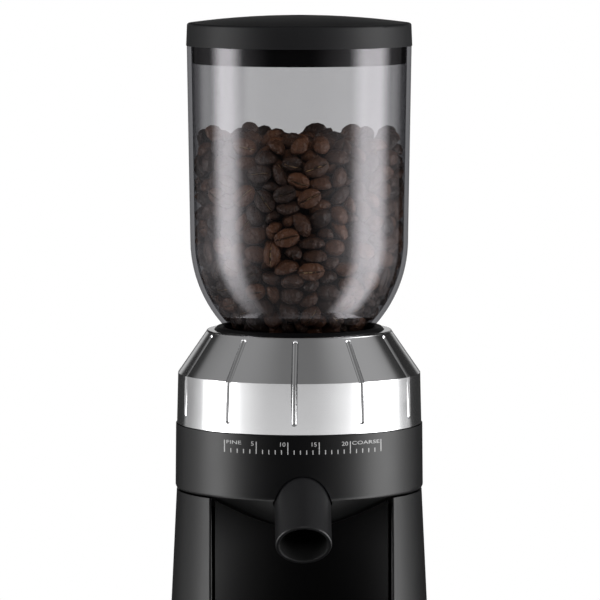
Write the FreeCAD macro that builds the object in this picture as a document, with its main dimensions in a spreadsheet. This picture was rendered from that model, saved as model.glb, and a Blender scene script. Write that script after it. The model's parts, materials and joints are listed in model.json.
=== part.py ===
import FreeCAD, Part
import math
import os
import re
import Sketcher

# Burr coffee grinder. Millimetres; front is -Y, up is +Z, the burr axis stands on x = 0.
# Every piece is drawn about the burr axis and then set back,
# so that the origin lies under the middle of the part.

SIZES = [
    ("foot_reach", "3", "how far the feet stand below the base"),
    ("base_height", "19", "height of the base shell"),
    ("column_height", "125.1", "base top to column top"),
    ("housing_height", "32.5", "height of the scale housing"),
    ("collar_gap", "0.4", "running gap under the collar"),
    ("collar_straight", "25", "straight part of the collar"),
    ("collar_cone_height", "21.4", "conical part of the collar"),
    ("hopper_height", "141.8", "collar top to hopper rim"),
    ("lid_edge_height", "11.3", "height of the lid's edge"),
    ("lid_dome_height", "3.7", "rise of the lid's dome"),
    ("lid_overhang", "0.3", "lid edge past the hopper rim"),
    ("lid_draft", "0.4", "lean of the lid's edge"),
    ("lid_round", "1.2", "rounding between dome and edge"),
    ("lid_seam", "0.45", "width and depth of the line round the dome"),
    ("lid_wall", "2.2", "thickness of the lid's top"),
    ("plug_depth", "8.7", "lid plug below the rim"),
    ("plug_wall", "2", "thickness of the plug ring"),
    ("plug_gap", "0.6", "plug to hopper bore"),
    ("dimple_radius", "5.5", "dimple on the lid"),
    ("dimple_depth", "0.6", "depth of the dimple"),
    ("hopper_rim_radius", "56", "outside of the hopper at its rim"),
    ("hopper_taper", "1.6", "rim radius less waist radius"),
    ("hopper_shoulder", "45", "height of the waist above the collar"),
    ("hopper_wall", "2.2", "thickness of the hopper"),
    ("neck_radius", "33", "outside of the hopper's neck"),
    ("neck_gap", "0.35", "hopper neck to its seat bore"),
    ("guard_height", "4", "height of the finger guard"),
    ("guard_bar", "2.4", "width of the guard's spokes"),
    ("guard_lift", "0.5", "guard above the foot of the neck"),
    ("guard_hub", "5", "hub of the guard"),
    ("guard_ring", "1.8", "ring of the guard"),
    ("guard_crown", "1", "rise of the guard's hub"),
    ("collar_step", "0.8", "housing radius less collar radius"),
    ("collar_draft", "0.6", "lower radius less shoulder radius"),
    ("collar_top_radius", "46.4", "collar at its upper edge"),
    ("collar_lip", "3.9", "width of the collar's top lip"),
    ("collar_round", "0.8", "rounding of the top edge"),
    ("collar_arc", "0.96", "profile radius of that rounding"),
    ("collar_wall", "2.4", "thickness of the collar shell"),
    ("groove_ball", "1.6", "radius of the ball-end groove"),
    ("groove_depth", "1.55", "depth of the grooves on the cone"),
    ("groove_end_depth", "0.85", "depth of the grooves at their lower end"),
    ("groove_count", "11", "grooves round the collar"),
    ("groove_margin", "2.8", "bare edge above the grooves"),
    ("groove_foot", "5.6", "bare edge below the grooves"),
    ("groove_angle", "-94", "where the index groove stands at rest"),
    ("core_wall", "3.2", "thickness of the collar core"),
    ("core_gap", "0.35", "core flange to collar shell"),
    ("core_lift", "0.3", "running gap under the collar core"),
    ("core_flange", "2.5", "thickness of the core's flanges"),
    ("core_shoulder", "1.5", "core's upper flange past the collar mouth"),
    ("core_fit", "0.2", "core to the collar mouth"),
    ("throat_rise", "1.5", "hopper seat above the collar top"),
    ("throat_gap", "0.6", "hopper bottom to its seat"),
    ("throat_land", "3.16", "width of the core's flat top"),
    ("throat_chamfer", "1.2", "bevel of the hopper seat's outer edge"),
    ("throat_lead", "0.4", "throat cone below the bend of the hopper"),
    ("seat_thick", "2.4", "ledge under the hopper's neck"),
    ("seat_width", "2.6", "width of that ledge"),
    ("seal_thick", "1.15", "rubber ring on the ledge"),
    ("seal_inset", "0.3", "rubber ring inside the ledge's edge"),
    ("turn_gap", "0.35", "core bore to chamber neck"),
    ("lift_room", "1.3", "room above the burr carrier"),
    ("carrier_rim", "6.2", "height of the carrier's rim"),
    ("carrier_lip", "3", "flat rim on top of the carrier"),
    ("carrier_gap", "0.4", "carrier rim to core bore"),
    ("shelf_gap", "1.75", "carrier rim above the chamber neck"),
    ("thread_rise", "12", "chamber neck above the deck"),
    ("thread_fit", "0.08", "carrier sleeve to chamber neck"),
    ("sleeve_wall", "3.4", "thickness of the carrier sleeve"),
    ("sleeve_lift", "7", "carrier sleeve above the foot of the ring burr"),
    ("key_width", "5.8", "width of the carrier's keys"),
    ("key_reach", "1.5", "keys past the core bore"),
    ("key_gap", "0.35", "play of the keys"),
    ("press_fit", "0.05", "gap of pieces pushed together"),
    ("ring_height", "20.2", "height of the ring burr"),
    ("ring_land", "8", "height of the fine teeth"),
    ("burr_gap", "0.5", "ring burr to cone burr"),
    ("burr_overlap", "1.5", "edge of the cone burr below the ring burr"),
    ("cone_base_radius", "19.6", "cone burr at its foot"),
    ("cone_slope", "0.42", "radius lost per height on the fine teeth"),
    ("cone_tip_radius", "7.5", "cone burr at its top"),
    ("cone_rise", "14", "height of the cone above the fine teeth"),
    ("ring_mouth", "3.6", "how far the ring burr opens upward"),
    ("ring_flutes", "16", "feeding flutes in the ring burr"),
    ("ring_flute_radius", "1.1", "radius of those flutes"),
    ("cone_flutes", "8", "feeding flutes on the cone burr"),
    ("cone_flute_radius", "2.4", "radius of those flutes"),
    ("cone_teeth", "32", "fine teeth of the cone burr"),
    ("cone_tooth_radius", "0.8", "radius of the cuts between them"),
    ("burr_screw_lift", "2.2", "screw heads above the ring burr"),
    ("burr_screw_depth", "7", "screws in the ring burr"),
    ("grounds_space", "9.8", "chamber floor to ring burr"),
    ("chamber_depth", "22", "deck to chamber floor"),
    ("chamber_floor_wall", "7", "thickness of the chamber floor"),
    ("chamber_wall", "2.9", "thickness of the chamber wall"),
    ("chamber_step", "2.1", "neck bore less chamber bore"),
    ("chamber_shoulder", "2", "slope between the chamber bore and the neck bore"),
    ("flange_width", "11", "chamber flange past the neck"),
    ("flange_thick", "4", "chamber flange thickness"),
    ("deck_screw_inset", "4.5", "deck screws inside the flange's edge"),
    ("deck_screw_length", "3.6", "deck screws below their heads"),
    ("window_width", "22", "outlet window of the chamber"),
    ("window_height", "10.5", "outlet window of the chamber"),
    ("window_depth", "14", "depth of the window's cut"),
    ("sweeper_gap", "1.5", "sweeper to chamber bore"),
    ("sweeper_plate", "1.6", "thickness of the sweeper disc"),
    ("sweeper_hub", "5", "height of the sweeper"),
    ("sweeper_lift", "1", "sweeper above the chamber floor"),
    ("sweeper_boss", "5", "sweeper's hub past the shaft"),
    ("paddle_width", "2.4", "thickness of the sweeper's paddles"),
    ("paddle_gap", "0.4", "paddles below the cone burr"),
    ("shaft_radius", "4", "main shaft"),
    ("shaft_fit", "0.04", "running fit of the shafts"),
    ("shaft_room", "1", "main shaft to the holes that it passes"),
    ("hub_fit", "0.02", "gap of pieces pushed onto a shaft"),
    ("shaft_foot", "1.3", "shaft end above the gearbox bottom"),
    ("thread_length", "3", "shaft thread inside the cone burr"),
    ("thread_end", "1.5", "shaft thread past the nut"),
    ("thread_radius", "2.9", "threaded top of the shaft"),
    ("nut_radius", "6.4", "across the corners of the burr nut, halved"),
    ("nut_height", "5", "height of the burr nut"),
    ("bearing_radius", "8", "outside of the shaft bearings"),
    ("bearing_width", "5", "width of the shaft bearings"),
    ("housing_radius", "62", "outside of the scale housing"),
    ("housing_draft", "0.3", "lean of the housing wall"),
    ("housing_round", "2", "rounding of its lower edge"),
    ("housing_wall", "2.5", "thickness of the housing"),
    ("bowl_hole", "28", "hole in the housing's conical bottom"),
    ("bowl_drop", "17.5", "fall of that cone"),
    ("seat_gap", "0.05", "housing to column"),
    ("column_step", "0.6", "housing radius less column radius"),
    ("column_flare", "6.1", "column foot radius less top radius"),
    ("column_wall", "2.5", "thickness of the column"),
    ("column_flange", "9", "width of the column's foot flange"),
    ("column_flange_thick", "3.2", "thickness of that flange"),
    ("cheek_width", "17.1", "width of each cheek beside the recess"),
    ("cheek_round", "0.9", "rounding of the cheeks' edges"),
    ("panel_drill", "16", "length of the drillings through the panel"),
    ("cut_over", "1", "how far a cut runs past a face"),
    ("cut_past", "20", "how far a large cut runs past a piece"),
    ("screw_short", "0.4", "column screw tip below its flange"),
    ("gland_clear", "1", "inner end of the gland short of the base hole"),
    ("foot_taper", "1", "foot radius less its radius on the table"),
    ("rocker_end_gap", "1", "rocker end to its frame"),
    ("recess_curve", "90", "radius of the concave front panel"),
    ("panel_inset", "1.0218", "front panel edge behind the cheeks' front"),
    ("panel_gap", "1.5", "front panel to cheeks"),
    ("panel_wall", "2.5", "thickness of the front panel"),
    ("panel_top_gap", "1.3", "front panel to the housing's cone"),
    ("spout_angle", "42", "fall of the spout in degrees"),
    ("spout_radius", "13.8", "outside of the spout"),
    ("spout_bore", "11.8", "bore of the spout"),
    ("spout_stand", "13.8", "spout end ahead of the housing"),
    ("spout_drop", "19.6", "spout end below the housing"),
    ("spout_root", "37.52804", "inner end of the spout from the burr axis"),
    ("spout_gap", "0.8", "spout to the hole in the housing"),
    ("spout_lip", "0.7", "rounding of the spout's open end"),
    ("socket_depth", "7.5", "spout inside the chamber's socket"),
    ("socket_wall", "3", "thickness of the socket"),
    ("socket_neck", "8.5", "socket beyond the spout"),
    ("socket_seat", "0.1", "spout to the floor of its socket"),
    ("socket_bore", "12.8", "passage behind the spout"),
    ("socket_passage", "5", "length of that passage"),
    ("gearbox_clear", "1.75", "gearbox below the housing's cone"),
    ("gearbox_plate_thick", "6", "lower gearbox plate"),
    ("gearbox_lid_thick", "6", "top of the gearbox cover"),
    ("gearbox_wall", "3", "wall of the gearbox cover"),
    ("gearbox_screw", "1", "shank of the gearbox screws"),
    ("gearbox_screw_gap", "0.08", "gearbox screws to their holes"),
    ("gearbox_screw_head", "2", "head of the gearbox screws"),
    ("gearbox_head_height", "1.4", "head height of those screws"),
    ("gearbox_screw_length", "14", "length of those screws"),
    ("gearbox_screw_count", "5", "gearbox screws"),
    ("gearbox_x", "2", "gearbox centre right of the burr axis"),
    ("gearbox_y", "14", "gearbox centre behind the burr axis"),
    ("gear_gap", "1", "gears to walls and to each other"),
    ("fast_width", "5.5", "face width of the fast gear pair"),
    ("slow_width", "6.5", "face width of the slow gear pair"),
    ("fast_module", "0.7", "tooth size of the fast pair"),
    ("slow_module", "0.9", "tooth size of the slow pair"),
    ("main_teeth", "42", "teeth of the main gear"),
    ("lay_pinion_teeth", "13", "teeth of the layshaft pinion"),
    ("lay_teeth", "44", "teeth of the layshaft gear"),
    ("motor_teeth", "12", "teeth of the motor pinion"),
    ("gear_spread", "0.05", "extra distance between gear axes"),
    ("gear_play", "0.06", "thinning of each tooth"),
    ("lay_angle", "43", "direction of the layshaft"),
    ("motor_angle", "157.4", "direction of the motor from the layshaft"),
    ("lay_radius", "2", "layshaft"),
    ("bush_radius", "4", "outside of the layshaft bushes"),
    ("bush_width", "4", "width of the layshaft bushes"),
    ("lay_end", "0.2", "layshaft ends inside the bushes"),
    ("post_radius", "3.5", "posts under the chamber"),
    ("post_circle", "20", "circle of the posts"),
    ("motor_radius", "22", "outside of the motor"),
    ("motor_length", "65", "length of the motor"),
    ("motor_wall", "1.5", "motor can"),
    ("motor_cap_thick", "4", "motor end cap"),
    ("motor_cap_bevel", "2", "bevel of the end cap"),
    ("motor_shaft_radius", "1.6", "motor shaft"),
    ("motor_shaft_room", "1.4", "motor shaft to the hole in the gearbox plate"),
    ("motor_shaft_end", "0.5", "motor shaft inside the end cap"),
    ("armature_radius", "13.5", "armature"),
    ("magnet_gap", "0.7", "armature to magnets"),
    ("magnet_half", "60", "half the sweep of a magnet, degrees"),
    ("coil_room", "10", "motor ends to the armature's stack"),
    ("commutator_lift", "3", "commutator above the end cap"),
    ("commutator_wall", "4", "commutator past the shaft"),
    ("armature_slots", "9", "slots of the armature"),
    ("armature_slot", "1.5", "radius of those slots"),
    ("motor_screw_pitch", "16", "between the motor screws"),
    ("motor_screw", "1.2", "shank of the motor screws"),
    ("motor_head_sink", "0.8", "heads of the motor screws below the plate"),
    ("motor_screw_end", "1", "motor screws past the can's end"),
    ("base_step", "1", "base past the column foot"),
    ("base_front", "118", "base front ahead of the burr axis"),
    ("base_corner", "36", "front corners of the base"),
    ("base_round", "3.5", "rounding of the base's upper edge"),
    ("base_wall", "2.5", "thickness of the base walls"),
    ("base_hole", "48", "opening between base and column"),
    ("base_hole_front", "24", "front edge of that opening"),
    ("plate_thick", "2.5", "bottom plate"),
    ("plate_gap", "0.3", "bottom plate to base wall"),
    ("foot_radius", "8", "rubber feet"),
    ("foot_inset", "22.5", "feet from the side of the base"),
    ("foot_front", "92", "front feet ahead of the burr axis"),
    ("foot_back", "38", "rear feet behind the burr axis"),
    ("screw_radius", "1.5", "shank of the screws"),
    ("screw_head", "2.8", "head radius of the screws"),
    ("screw_head_height", "1.7", "head height of the screws"),
    ("screw_gap", "0.15", "screw to its hole"),
    ("boss_radius", "5", "bosses of the base screws"),
    ("boss_gap", "0.1", "bosses to the bottom plate"),
    ("screw_from_foot", "18", "front base screws behind the feet"),
    ("screw_past_foot", "10", "rear base screws outside the feet"),
    ("screw_ahead", "24", "rear base screws ahead of the feet"),
    ("column_screw_count", "4", "column screws on the rear half"),
    ("tray_half", "50", "half the width of the tray pocket"),
    ("tray_back", "56", "tray pocket, rear edge"),
    ("tray_front", "111", "tray pocket, front edge"),
    ("tray_corner", "20", "corners of the tray"),
    ("tray_depth", "9", "depth of the tray pocket"),
    ("tray_gap", "0.5", "tray to its pocket"),
    ("tray_wall", "1.6", "thickness of the tray"),
    ("tray_lip", "1.5", "tray above the base"),
    ("cradle_height", "53", "cradle above the base"),
    ("cradle_thick", "9", "thickness of the cradle"),
    ("cradle_root", "26", "half the width of the cradle's root"),
    ("cradle_round", "1.2", "rounding of the cradle's edges"),
    ("fork_gap", "32.5", "half the gap of the fork"),
    ("fork_arm", "8.5", "width of the fork arms"),
    ("fork_reach", "100", "fork tips ahead of the burr axis"),
    ("fork_shoulder", "52", "where the arms reach full width"),
    ("cradle_screw_x", "16", "cradle screws from the middle"),
    ("cradle_screw_length", "12", "cradle screws below their heads"),
    ("button_radius", "8", "start button"),
    ("button_below", "11", "start button below the cradle"),
    ("button_reach", "15.4", "start button ahead of the panel"),
    ("button_flange", "2", "flange of the start button"),
    ("button_seat", "0.5", "button flange behind the panel"),
    ("button_gap", "0.4", "start button to panel"),
    ("button_travel", "3", "stroke of the start button"),
    ("button_round", "2", "rounding of the start button"),
    ("button_rim", "2", "flange past the start button"),
    ("switch_post_x", "14", "posts of the start switch"),
    ("switch_length", "34", "start switch"),
    ("switch_height", "11", "start switch"),
    ("switch_depth", "10", "start switch"),
    ("plunger_radius", "1.6", "plunger of the start switch"),
    ("plunger_reach", "3.2", "plunger of the start switch"),
    ("switch_post_radius", "2.2", "posts of the start switch"),
    ("rocker_height", "38", "power switch above the base"),
    ("rocker_frame_w", "18", "power switch frame, across"),
    ("rocker_frame_h", "26", "power switch frame, upright"),
    ("rocker_frame_t", "1.2", "power switch frame, thickness"),
    ("rocker_border", "3.4", "power switch frame, border"),
    ("rocker_shell", "2", "power switch frame past its body"),
    ("rocker_hole_gap", "0.4", "power switch body to its hole"),
    ("rocker_body", "20", "power switch behind the wall"),
    ("rocker_room", "10", "depth of the space that the rocker tilts in"),
    ("rocker_gap", "0.4", "rocker to frame"),
    ("rocker_tilt", "9", "rocker to either side, degrees"),
    ("rocker_pivot", "2", "rocker pivot behind the frame"),
    ("rocker_pin", "1.2", "radius of the rocker's pins"),
    ("rocker_pin_reach", "6.6", "rocker pins from the middle"),
    ("board_lift", "5.5", "control board above the bottom plate"),
    ("board_thick", "1.6", "control board"),
    ("board_half", "26", "half the width of the control board"),
    ("board_front", "18", "control board ahead of the burr axis"),
    ("board_back", "34", "control board behind the burr axis"),
    ("board_post", "3", "posts of the control board"),
    ("board_post_inset", "4", "posts inside the board's edges"),
    ("capacitor_radius", "5", "capacitor"),
    ("capacitor_x", "-12", "capacitor beside the burr axis"),
    ("part_height", "7", "parts on the board"),
    ("relay_x", "2", "relay, left edge"),
    ("relay_y", "4", "relay, front edge"),
    ("relay_length", "19", "relay, across"),
    ("relay_width", "15", "relay, front to back"),
    ("terminal_x", "-16", "terminal, left edge"),
    ("terminal_y", "14", "terminal, front edge"),
    ("terminal_length", "10", "terminal, across"),
    ("terminal_width", "4", "terminal, front to back"),
    ("gland_height", "11", "cord gland above the base bottom"),
    ("gland_radius", "5", "cord gland in the base wall"),
    ("gland_bore", "3.5", "hole of the cord gland"),
    ("gland_flange", "2.5", "cord gland past the base"),
    ("gland_rim", "2.5", "cord gland's flange past its neck"),
]

DERIVED = [
    ("base_radius", "housing_radius - column_step + column_flare + base_step"),
    ("foot_x", "base_radius - foot_inset"),
    ("collar_radius", "housing_radius - collar_step"),
    ("axis_y", "(base_front - base_radius - gland_flange) / 2"),
    ("base_top", "foot_reach + base_height"),
    ("column_top", "base_top + column_height"),
    ("column_top_radius", "housing_radius - column_step"),
    ("column_foot_radius", "column_top_radius + column_flare"),
    ("recess_half", "column_top_radius - cheek_width"),
    ("bowl_edge", "housing_radius - housing_round"),
    ("bowl_ratio", "bowl_drop / (bowl_edge - bowl_hole)"),
    ("housing_bottom", "column_top + seat_gap + (bowl_edge - column_top_radius + column_wall) * bowl_ratio"),
    ("housing_top", "housing_bottom + housing_height"),
    ("bowl_skin", "housing_wall * sqrt(1 + bowl_ratio^2)"),
    ("collar_bottom", "housing_top + collar_gap"),
    ("collar_shoulder", "collar_bottom + collar_straight"),
    ("collar_top", "collar_shoulder + collar_cone_height"),
    ("collar_shoulder_radius", "collar_radius - collar_draft"),
    ("collar_mouth", "collar_top_radius - collar_lip"),
    ("collar_run", "collar_shoulder_radius - collar_top_radius"),
    ("collar_slant", "sqrt(collar_run^2 + collar_cone_height^2)"),
    ("top_inset", "(collar_slant - collar_run) / collar_cone_height"),
    ("bend_rise", "(collar_slant - collar_cone_height) / collar_run"),
    ("waist_z", "collar_top + hopper_shoulder"),
    ("waist_radius", "hopper_rim_radius - hopper_taper"),
    ("hopper_rim", "collar_top + hopper_height"),
    ("lid_edge", "hopper_rim + lid_edge_height"),
    ("lid_top", "lid_edge + lid_dome_height"),
    ("lid_radius", "hopper_rim_radius + lid_overhang"),
    ("lid_crown", "lid_radius - lid_draft - lid_round"),
    ("lid_ball", "(lid_crown^2 + lid_dome_height^2) / (2 * lid_dome_height)"),
    ("plug_radius", "hopper_rim_radius - hopper_wall - plug_gap"),
    ("lid_bore", "plug_radius + press_fit"),
    ("throat_top", "collar_top + throat_rise"),
    ("throat_drop", "waist_z - throat_top"),
    ("throat_radius", "collar_mouth - core_fit - throat_chamfer - throat_land"),
    ("bowl_inset", "waist_radius + throat_gap - throat_radius"),
    ("hopper_round", "(bowl_inset^2 + throat_drop^2) / (2 * bowl_inset)"),
    ("neck_join", "waist_z - sqrt(hopper_round^2 - (neck_radius - waist_radius + hopper_round)^2)"),
    ("neck_bore", "neck_radius - hopper_wall"),
    ("bore_round", "hopper_round - hopper_wall"),
    ("bore_join", "waist_z - sqrt(bore_round^2 - (neck_bore - waist_radius + hopper_round)^2)"),
    ("core_bore", "neck_radius + neck_gap"),
    ("chamber_neck", "core_bore - turn_gap"),
    ("thread_bore", "chamber_neck - chamber_wall"),
    ("neck_top", "housing_top + thread_rise"),
    ("carrier_shelf", "neck_top + shelf_gap"),
    ("carrier_top", "carrier_shelf + carrier_rim"),
    ("carrier_radius", "core_bore - carrier_gap"),
    ("seat_low", "carrier_top + lift_room"),
    ("seat_top", "seat_low + seat_thick"),
    ("neck_bottom", "seat_top + seal_thick"),
    ("guard_low", "neck_bottom + guard_lift"),
    ("guard_top", "guard_low + guard_height"),
    ("guard_radius", "neck_bore - press_fit"),
    ("sleeve_radius", "thread_bore - thread_fit"),
    ("ring_radius", "sleeve_radius - sleeve_wall"),
    ("chamber_floor", "housing_top - chamber_depth"),
    ("chamber_bottom", "chamber_floor - chamber_floor_wall"),
    ("chamber_bore", "thread_bore - chamber_step"),
    ("ring_bottom", "chamber_floor + grounds_space"),
    ("ring_top", "ring_bottom + ring_height"),
    ("sleeve_bottom", "ring_bottom + sleeve_lift"),
    ("sweeper_bottom", "chamber_floor + sweeper_lift"),
    ("cone_bottom", "sweeper_bottom + sweeper_hub"),
    ("cone_land", "ring_bottom - burr_overlap"),
    ("cone_mid", "ring_bottom + ring_land"),
    ("cone_mid_radius", "cone_base_radius - (ring_land + burr_overlap) * cone_slope"),
    ("cone_top", "cone_mid + cone_rise"),
    ("ring_low_radius", "cone_base_radius - burr_overlap * cone_slope + burr_gap"),
    ("ring_mid_radius", "cone_mid_radius + burr_gap"),
    ("ring_mouth_radius", "ring_mid_radius + ring_mouth"),
    ("spout_reach", "housing_radius + spout_stand"),
    ("spout_z", "housing_bottom - spout_drop"),
    ("spout_length", "(spout_reach - spout_root) / cos(spout_angle)"),
    ("socket_start", "spout_length - socket_depth"),
    ("gearbox_top", "housing_bottom - bowl_drop - gearbox_clear"),
    ("gearbox_inside", "gear_gap * 3.5 + fast_width + slow_width"),
    ("cover_inside", "gearbox_top - gearbox_lid_thick"),
    ("plate_top", "cover_inside - gearbox_inside"),
    ("gearbox_bottom", "plate_top - gearbox_plate_thick"),
    ("fast_z", "plate_top + gear_gap"),
    ("slow_z", "fast_z + fast_width + 1.5 * gear_gap"),
    ("slow_distance", "slow_module * (main_teeth + lay_pinion_teeth) / 2 + gear_spread"),
    ("fast_distance", "fast_module * (lay_teeth + motor_teeth) / 2 + gear_spread"),
    ("lay_x", "slow_distance * cos(lay_angle)"),
    ("lay_y", "slow_distance * sin(lay_angle)"),
    ("motor_x", "lay_x + fast_distance * cos(motor_angle)"),
    ("motor_y", "lay_y + fast_distance * sin(motor_angle)"),
    ("main_room", "sqrt(gearbox_x^2 + gearbox_y^2) + slow_module * (main_teeth / 2 + 1)"),
    ("lay_room", "sqrt((lay_x - gearbox_x)^2 + (lay_y - gearbox_y)^2) + fast_module * (lay_teeth / 2 + 1)"),
    ("gear_room", "max(main_room; lay_room) + gear_gap"),
    ("motor_bottom", "gearbox_bottom - motor_length"),
    ("plate_upper", "foot_reach + plate_thick"),
    ("tray_floor", "base_top - tray_depth"),
    ("base_ceiling", "tray_floor - base_wall"),
    ("panel_edge", "sqrt(column_top_radius^2 - recess_half^2) - panel_inset"),
    ("recess_centre", "panel_edge + sqrt(recess_curve^2 - (recess_half - panel_gap)^2)"),
    ("panel_half", "recess_half - panel_gap"),
    ("panel_mid", "recess_centre - recess_curve"),
    ("cradle_z", "base_top + cradle_height"),
    ("fork_out", "fork_gap + fork_arm"),
    ("cradle_root_y", "recess_centre - sqrt((recess_curve - seat_gap)^2 - cradle_root^2)"),
    ("cradle_screw_z", "cradle_z + cradle_thick / 2"),
    ("panel_back", "recess_curve + panel_wall"),
    ("cradle_screw_y", "recess_centre - sqrt(panel_back^2 - (cradle_screw_x - screw_head)^2)"),
    ("button_z", "cradle_z - button_below"),
    ("button_back", "panel_mid - panel_wall - button_seat - button_flange"),
    ("switch_face", "button_back - button_travel - plunger_reach - button_gap"),
    ("rocker_z", "base_top + rocker_height"),
    ("wall_tilt", "atan(column_flare / column_height)"),
    ("rocker_x", "column_foot_radius - column_flare * rocker_height / column_height"),
    ("board_z", "plate_upper + board_lift"),
    ("gland_z", "foot_reach + gland_height"),
]

SIZE_NAMES = {row[0] for row in SIZES}
DERIVED_NAMES = {row[0] for row in DERIVED}

doc = FreeCAD.newDocument("burr_grinder")
pieces = []


def bound(text, inside=False):
    """Put the sheet's name before every size named in an expression."""
    def with_sheet(match):
        word = match.group(0)
        if word in SIZE_NAMES:
            return "dims." + word
        if word in DERIVED_NAMES and not inside:
            return "derived." + word
        return word
    return re.sub(r"[a-z][a-z_]*", with_sheet, text)


def fill_sheets():
    dims = doc.addObject("Spreadsheet::Sheet", "dims")
    for row, (alias, number, meaning) in enumerate(SIZES, 1):
        dims.set(f"A{row}", meaning)
        dims.set(f"B{row}", number)
        dims.setAlias(f"B{row}", alias)
    doc.recompute()
    derived = doc.addObject("Spreadsheet::Sheet", "derived")
    for row, (alias, formula) in enumerate(DERIVED, 1):
        derived.set(f"B{row}", "=" + bound(formula, inside=True))
        derived.setAlias(f"B{row}", alias)
    doc.recompute()
    return dims


dims = fill_sheets()


def size(text):
    """Present value of an expression in named sizes."""
    result = dims.evalExpression(bound(text))
    return float(getattr(result, "Value", result))


def keep(piece, label, x="0", y="0", z="0", turn=None, about=(0, 0, 1)):
    """Name a piece, set it in the shared frame and remember it for export."""
    piece.Label = label
    if turn is not None:
        axis = FreeCAD.Vector(*about)
        piece.Placement = FreeCAD.Placement(FreeCAD.Vector(), FreeCAD.Rotation(axis, size(turn)))
        piece.setExpression("Placement.Rotation.Angle", bound(turn))
    piece.setExpression("Placement.Base.x", bound(x))
    piece.setExpression("Placement.Base.y", bound(f"axis_y + ({y})"))
    piece.setExpression("Placement.Base.z", bound(z))
    pieces.append(piece)
    return piece


def new_body(label, **place):
    return keep(doc.addObject("PartDesign::Body", label), label, **place)


def origin_of(body, role):
    return next(item for item in body.Origin.OriginFeatures if item.Role == role)


def add_outline(sketch, corners):
    """Closed outline; a corner is (x, y) or (x, y, radius, side) when an arc leaves it.

    The side is +1 when the arc's centre lies to the left of travel and -1 when it lies to the right.
    """
    points = [(size(corner[0]), size(corner[1])) for corner in corners]
    first = sketch.GeometryCount
    ends = []
    for index, corner in enumerate(corners):
        start = points[index]
        end = points[(index + 1) % len(points)]
        if len(corner) == 2:
            line = Part.LineSegment(FreeCAD.Vector(*start, 0), FreeCAD.Vector(*end, 0))
            sketch.addGeometry(line)
            ends.append((1, 2))
            continue
        radius = size(corner[2])
        side = corner[3]
        chord = math.hypot(end[0] - start[0], end[1] - start[1])
        away = math.sqrt(max(radius ** 2 - chord ** 2 / 4, 0)) * side
        centre_x = (start[0] + end[0]) / 2 - (end[1] - start[1]) / chord * away
        centre_y = (start[1] + end[1]) / 2 + (end[0] - start[0]) / chord * away
        angles = [math.atan2(point[1] - centre_y, point[0] - centre_x) for point in (start, end)]
        if side < 0:
            angles.reverse()
        circle = Part.Circle(FreeCAD.Vector(centre_x, centre_y, 0), FreeCAD.Vector(0, 0, 1), radius)
        sketch.addGeometry(Part.ArcOfCircle(circle, angles[0], angles[1]))
        ends.append((1, 2) if side > 0 else (2, 1))
    for index, corner in enumerate(corners):
        following = (index + 1) % len(corners)
        geometry = first + index
        points_met = (geometry, ends[index][1], first + following, ends[following][0])
        sketch.addConstraint(Sketcher.Constraint("Coincident", *points_met))
    for index, corner in enumerate(corners):
        geometry = first + index
        place = ends[index][0]
        for kind, axis, text, number in zip(("DistanceX", "DistanceY"), (-2, -1), corner, points[index]):
            if text == "0":
                sketch.addConstraint(Sketcher.Constraint("PointOnObject", geometry, place, axis))
                continue
            row = sketch.addConstraint(Sketcher.Constraint(kind, geometry, place, number))
            sketch.setExpression(f"Constraints[{row}]", bound(text))
        if len(corner) == 4:
            row = sketch.addConstraint(Sketcher.Constraint("Radius", geometry, size(corner[2])))
            sketch.setExpression(f"Constraints[{row}]", bound(corner[2]))


def add_circle(sketch, x, y, radius):
    circle = Part.Circle(FreeCAD.Vector(size(x), size(y), 0), FreeCAD.Vector(0, 0, 1), size(radius))
    geometry = sketch.addGeometry(circle)
    for kind, axis, text in (("DistanceX", -2, x), ("DistanceY", -1, y)):
        if text == "0":
            sketch.addConstraint(Sketcher.Constraint("PointOnObject", geometry, 3, axis))
            continue
        row = sketch.addConstraint(Sketcher.Constraint(kind, geometry, 3, size(text)))
        sketch.setExpression(f"Constraints[{row}]", bound(text))
    row = sketch.addConstraint(Sketcher.Constraint("Radius", geometry, size(radius)))
    sketch.setExpression(f"Constraints[{row}]", bound(radius))


def sketch_on(body, role, outlines=(), circles=(), lift="0"):
    sketch = body.newObject("Sketcher::SketchObject", body.Label + "_sketch")
    sketch.AttachmentSupport = [(origin_of(body, role), "")]
    sketch.MapMode = "FlatFace"
    sketch.setExpression("AttachmentOffset.Base.z", bound(lift))
    for corners in outlines:
        add_outline(sketch, corners)
    for circle in circles:
        add_circle(sketch, *circle)
    return sketch


def feature(body, kind, sketch=None):
    made = body.newObject("PartDesign::" + kind, body.Label + "_" + kind.lower())
    if sketch is not None:
        made.Profile = sketch
        sketch.Visibility = False
    body.Tip = made
    return made


def revolve(body, *outlines, cut=False):
    """Turn outlines of (radius, height) about the body's upright axis."""
    sketch = sketch_on(body, "XZ_Plane", outlines)
    made = feature(body, "Groove" if cut else "Revolution", sketch)
    made.ReferenceAxis = (sketch, ["V_Axis"])
    made.Angle = 360
    return made


def turned(label, *outlines, **place):
    body = new_body(label, **place)
    revolve(body, *outlines)
    return body


def pad(body, height, outlines=(), circles=(), lift="0", role="XY_Plane"):
    made = feature(body, "Pad", sketch_on(body, role, outlines, circles, lift))
    made.setExpression("Length", bound(height))
    return made


def pocket(body, depth, outlines=(), circles=(), lift="0", role="XY_Plane", upward=False):
    made = feature(body, "Pocket", sketch_on(body, role, outlines, circles, lift))
    made.setExpression("Length", bound(depth))
    made.Reversed = upward
    return made


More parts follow.
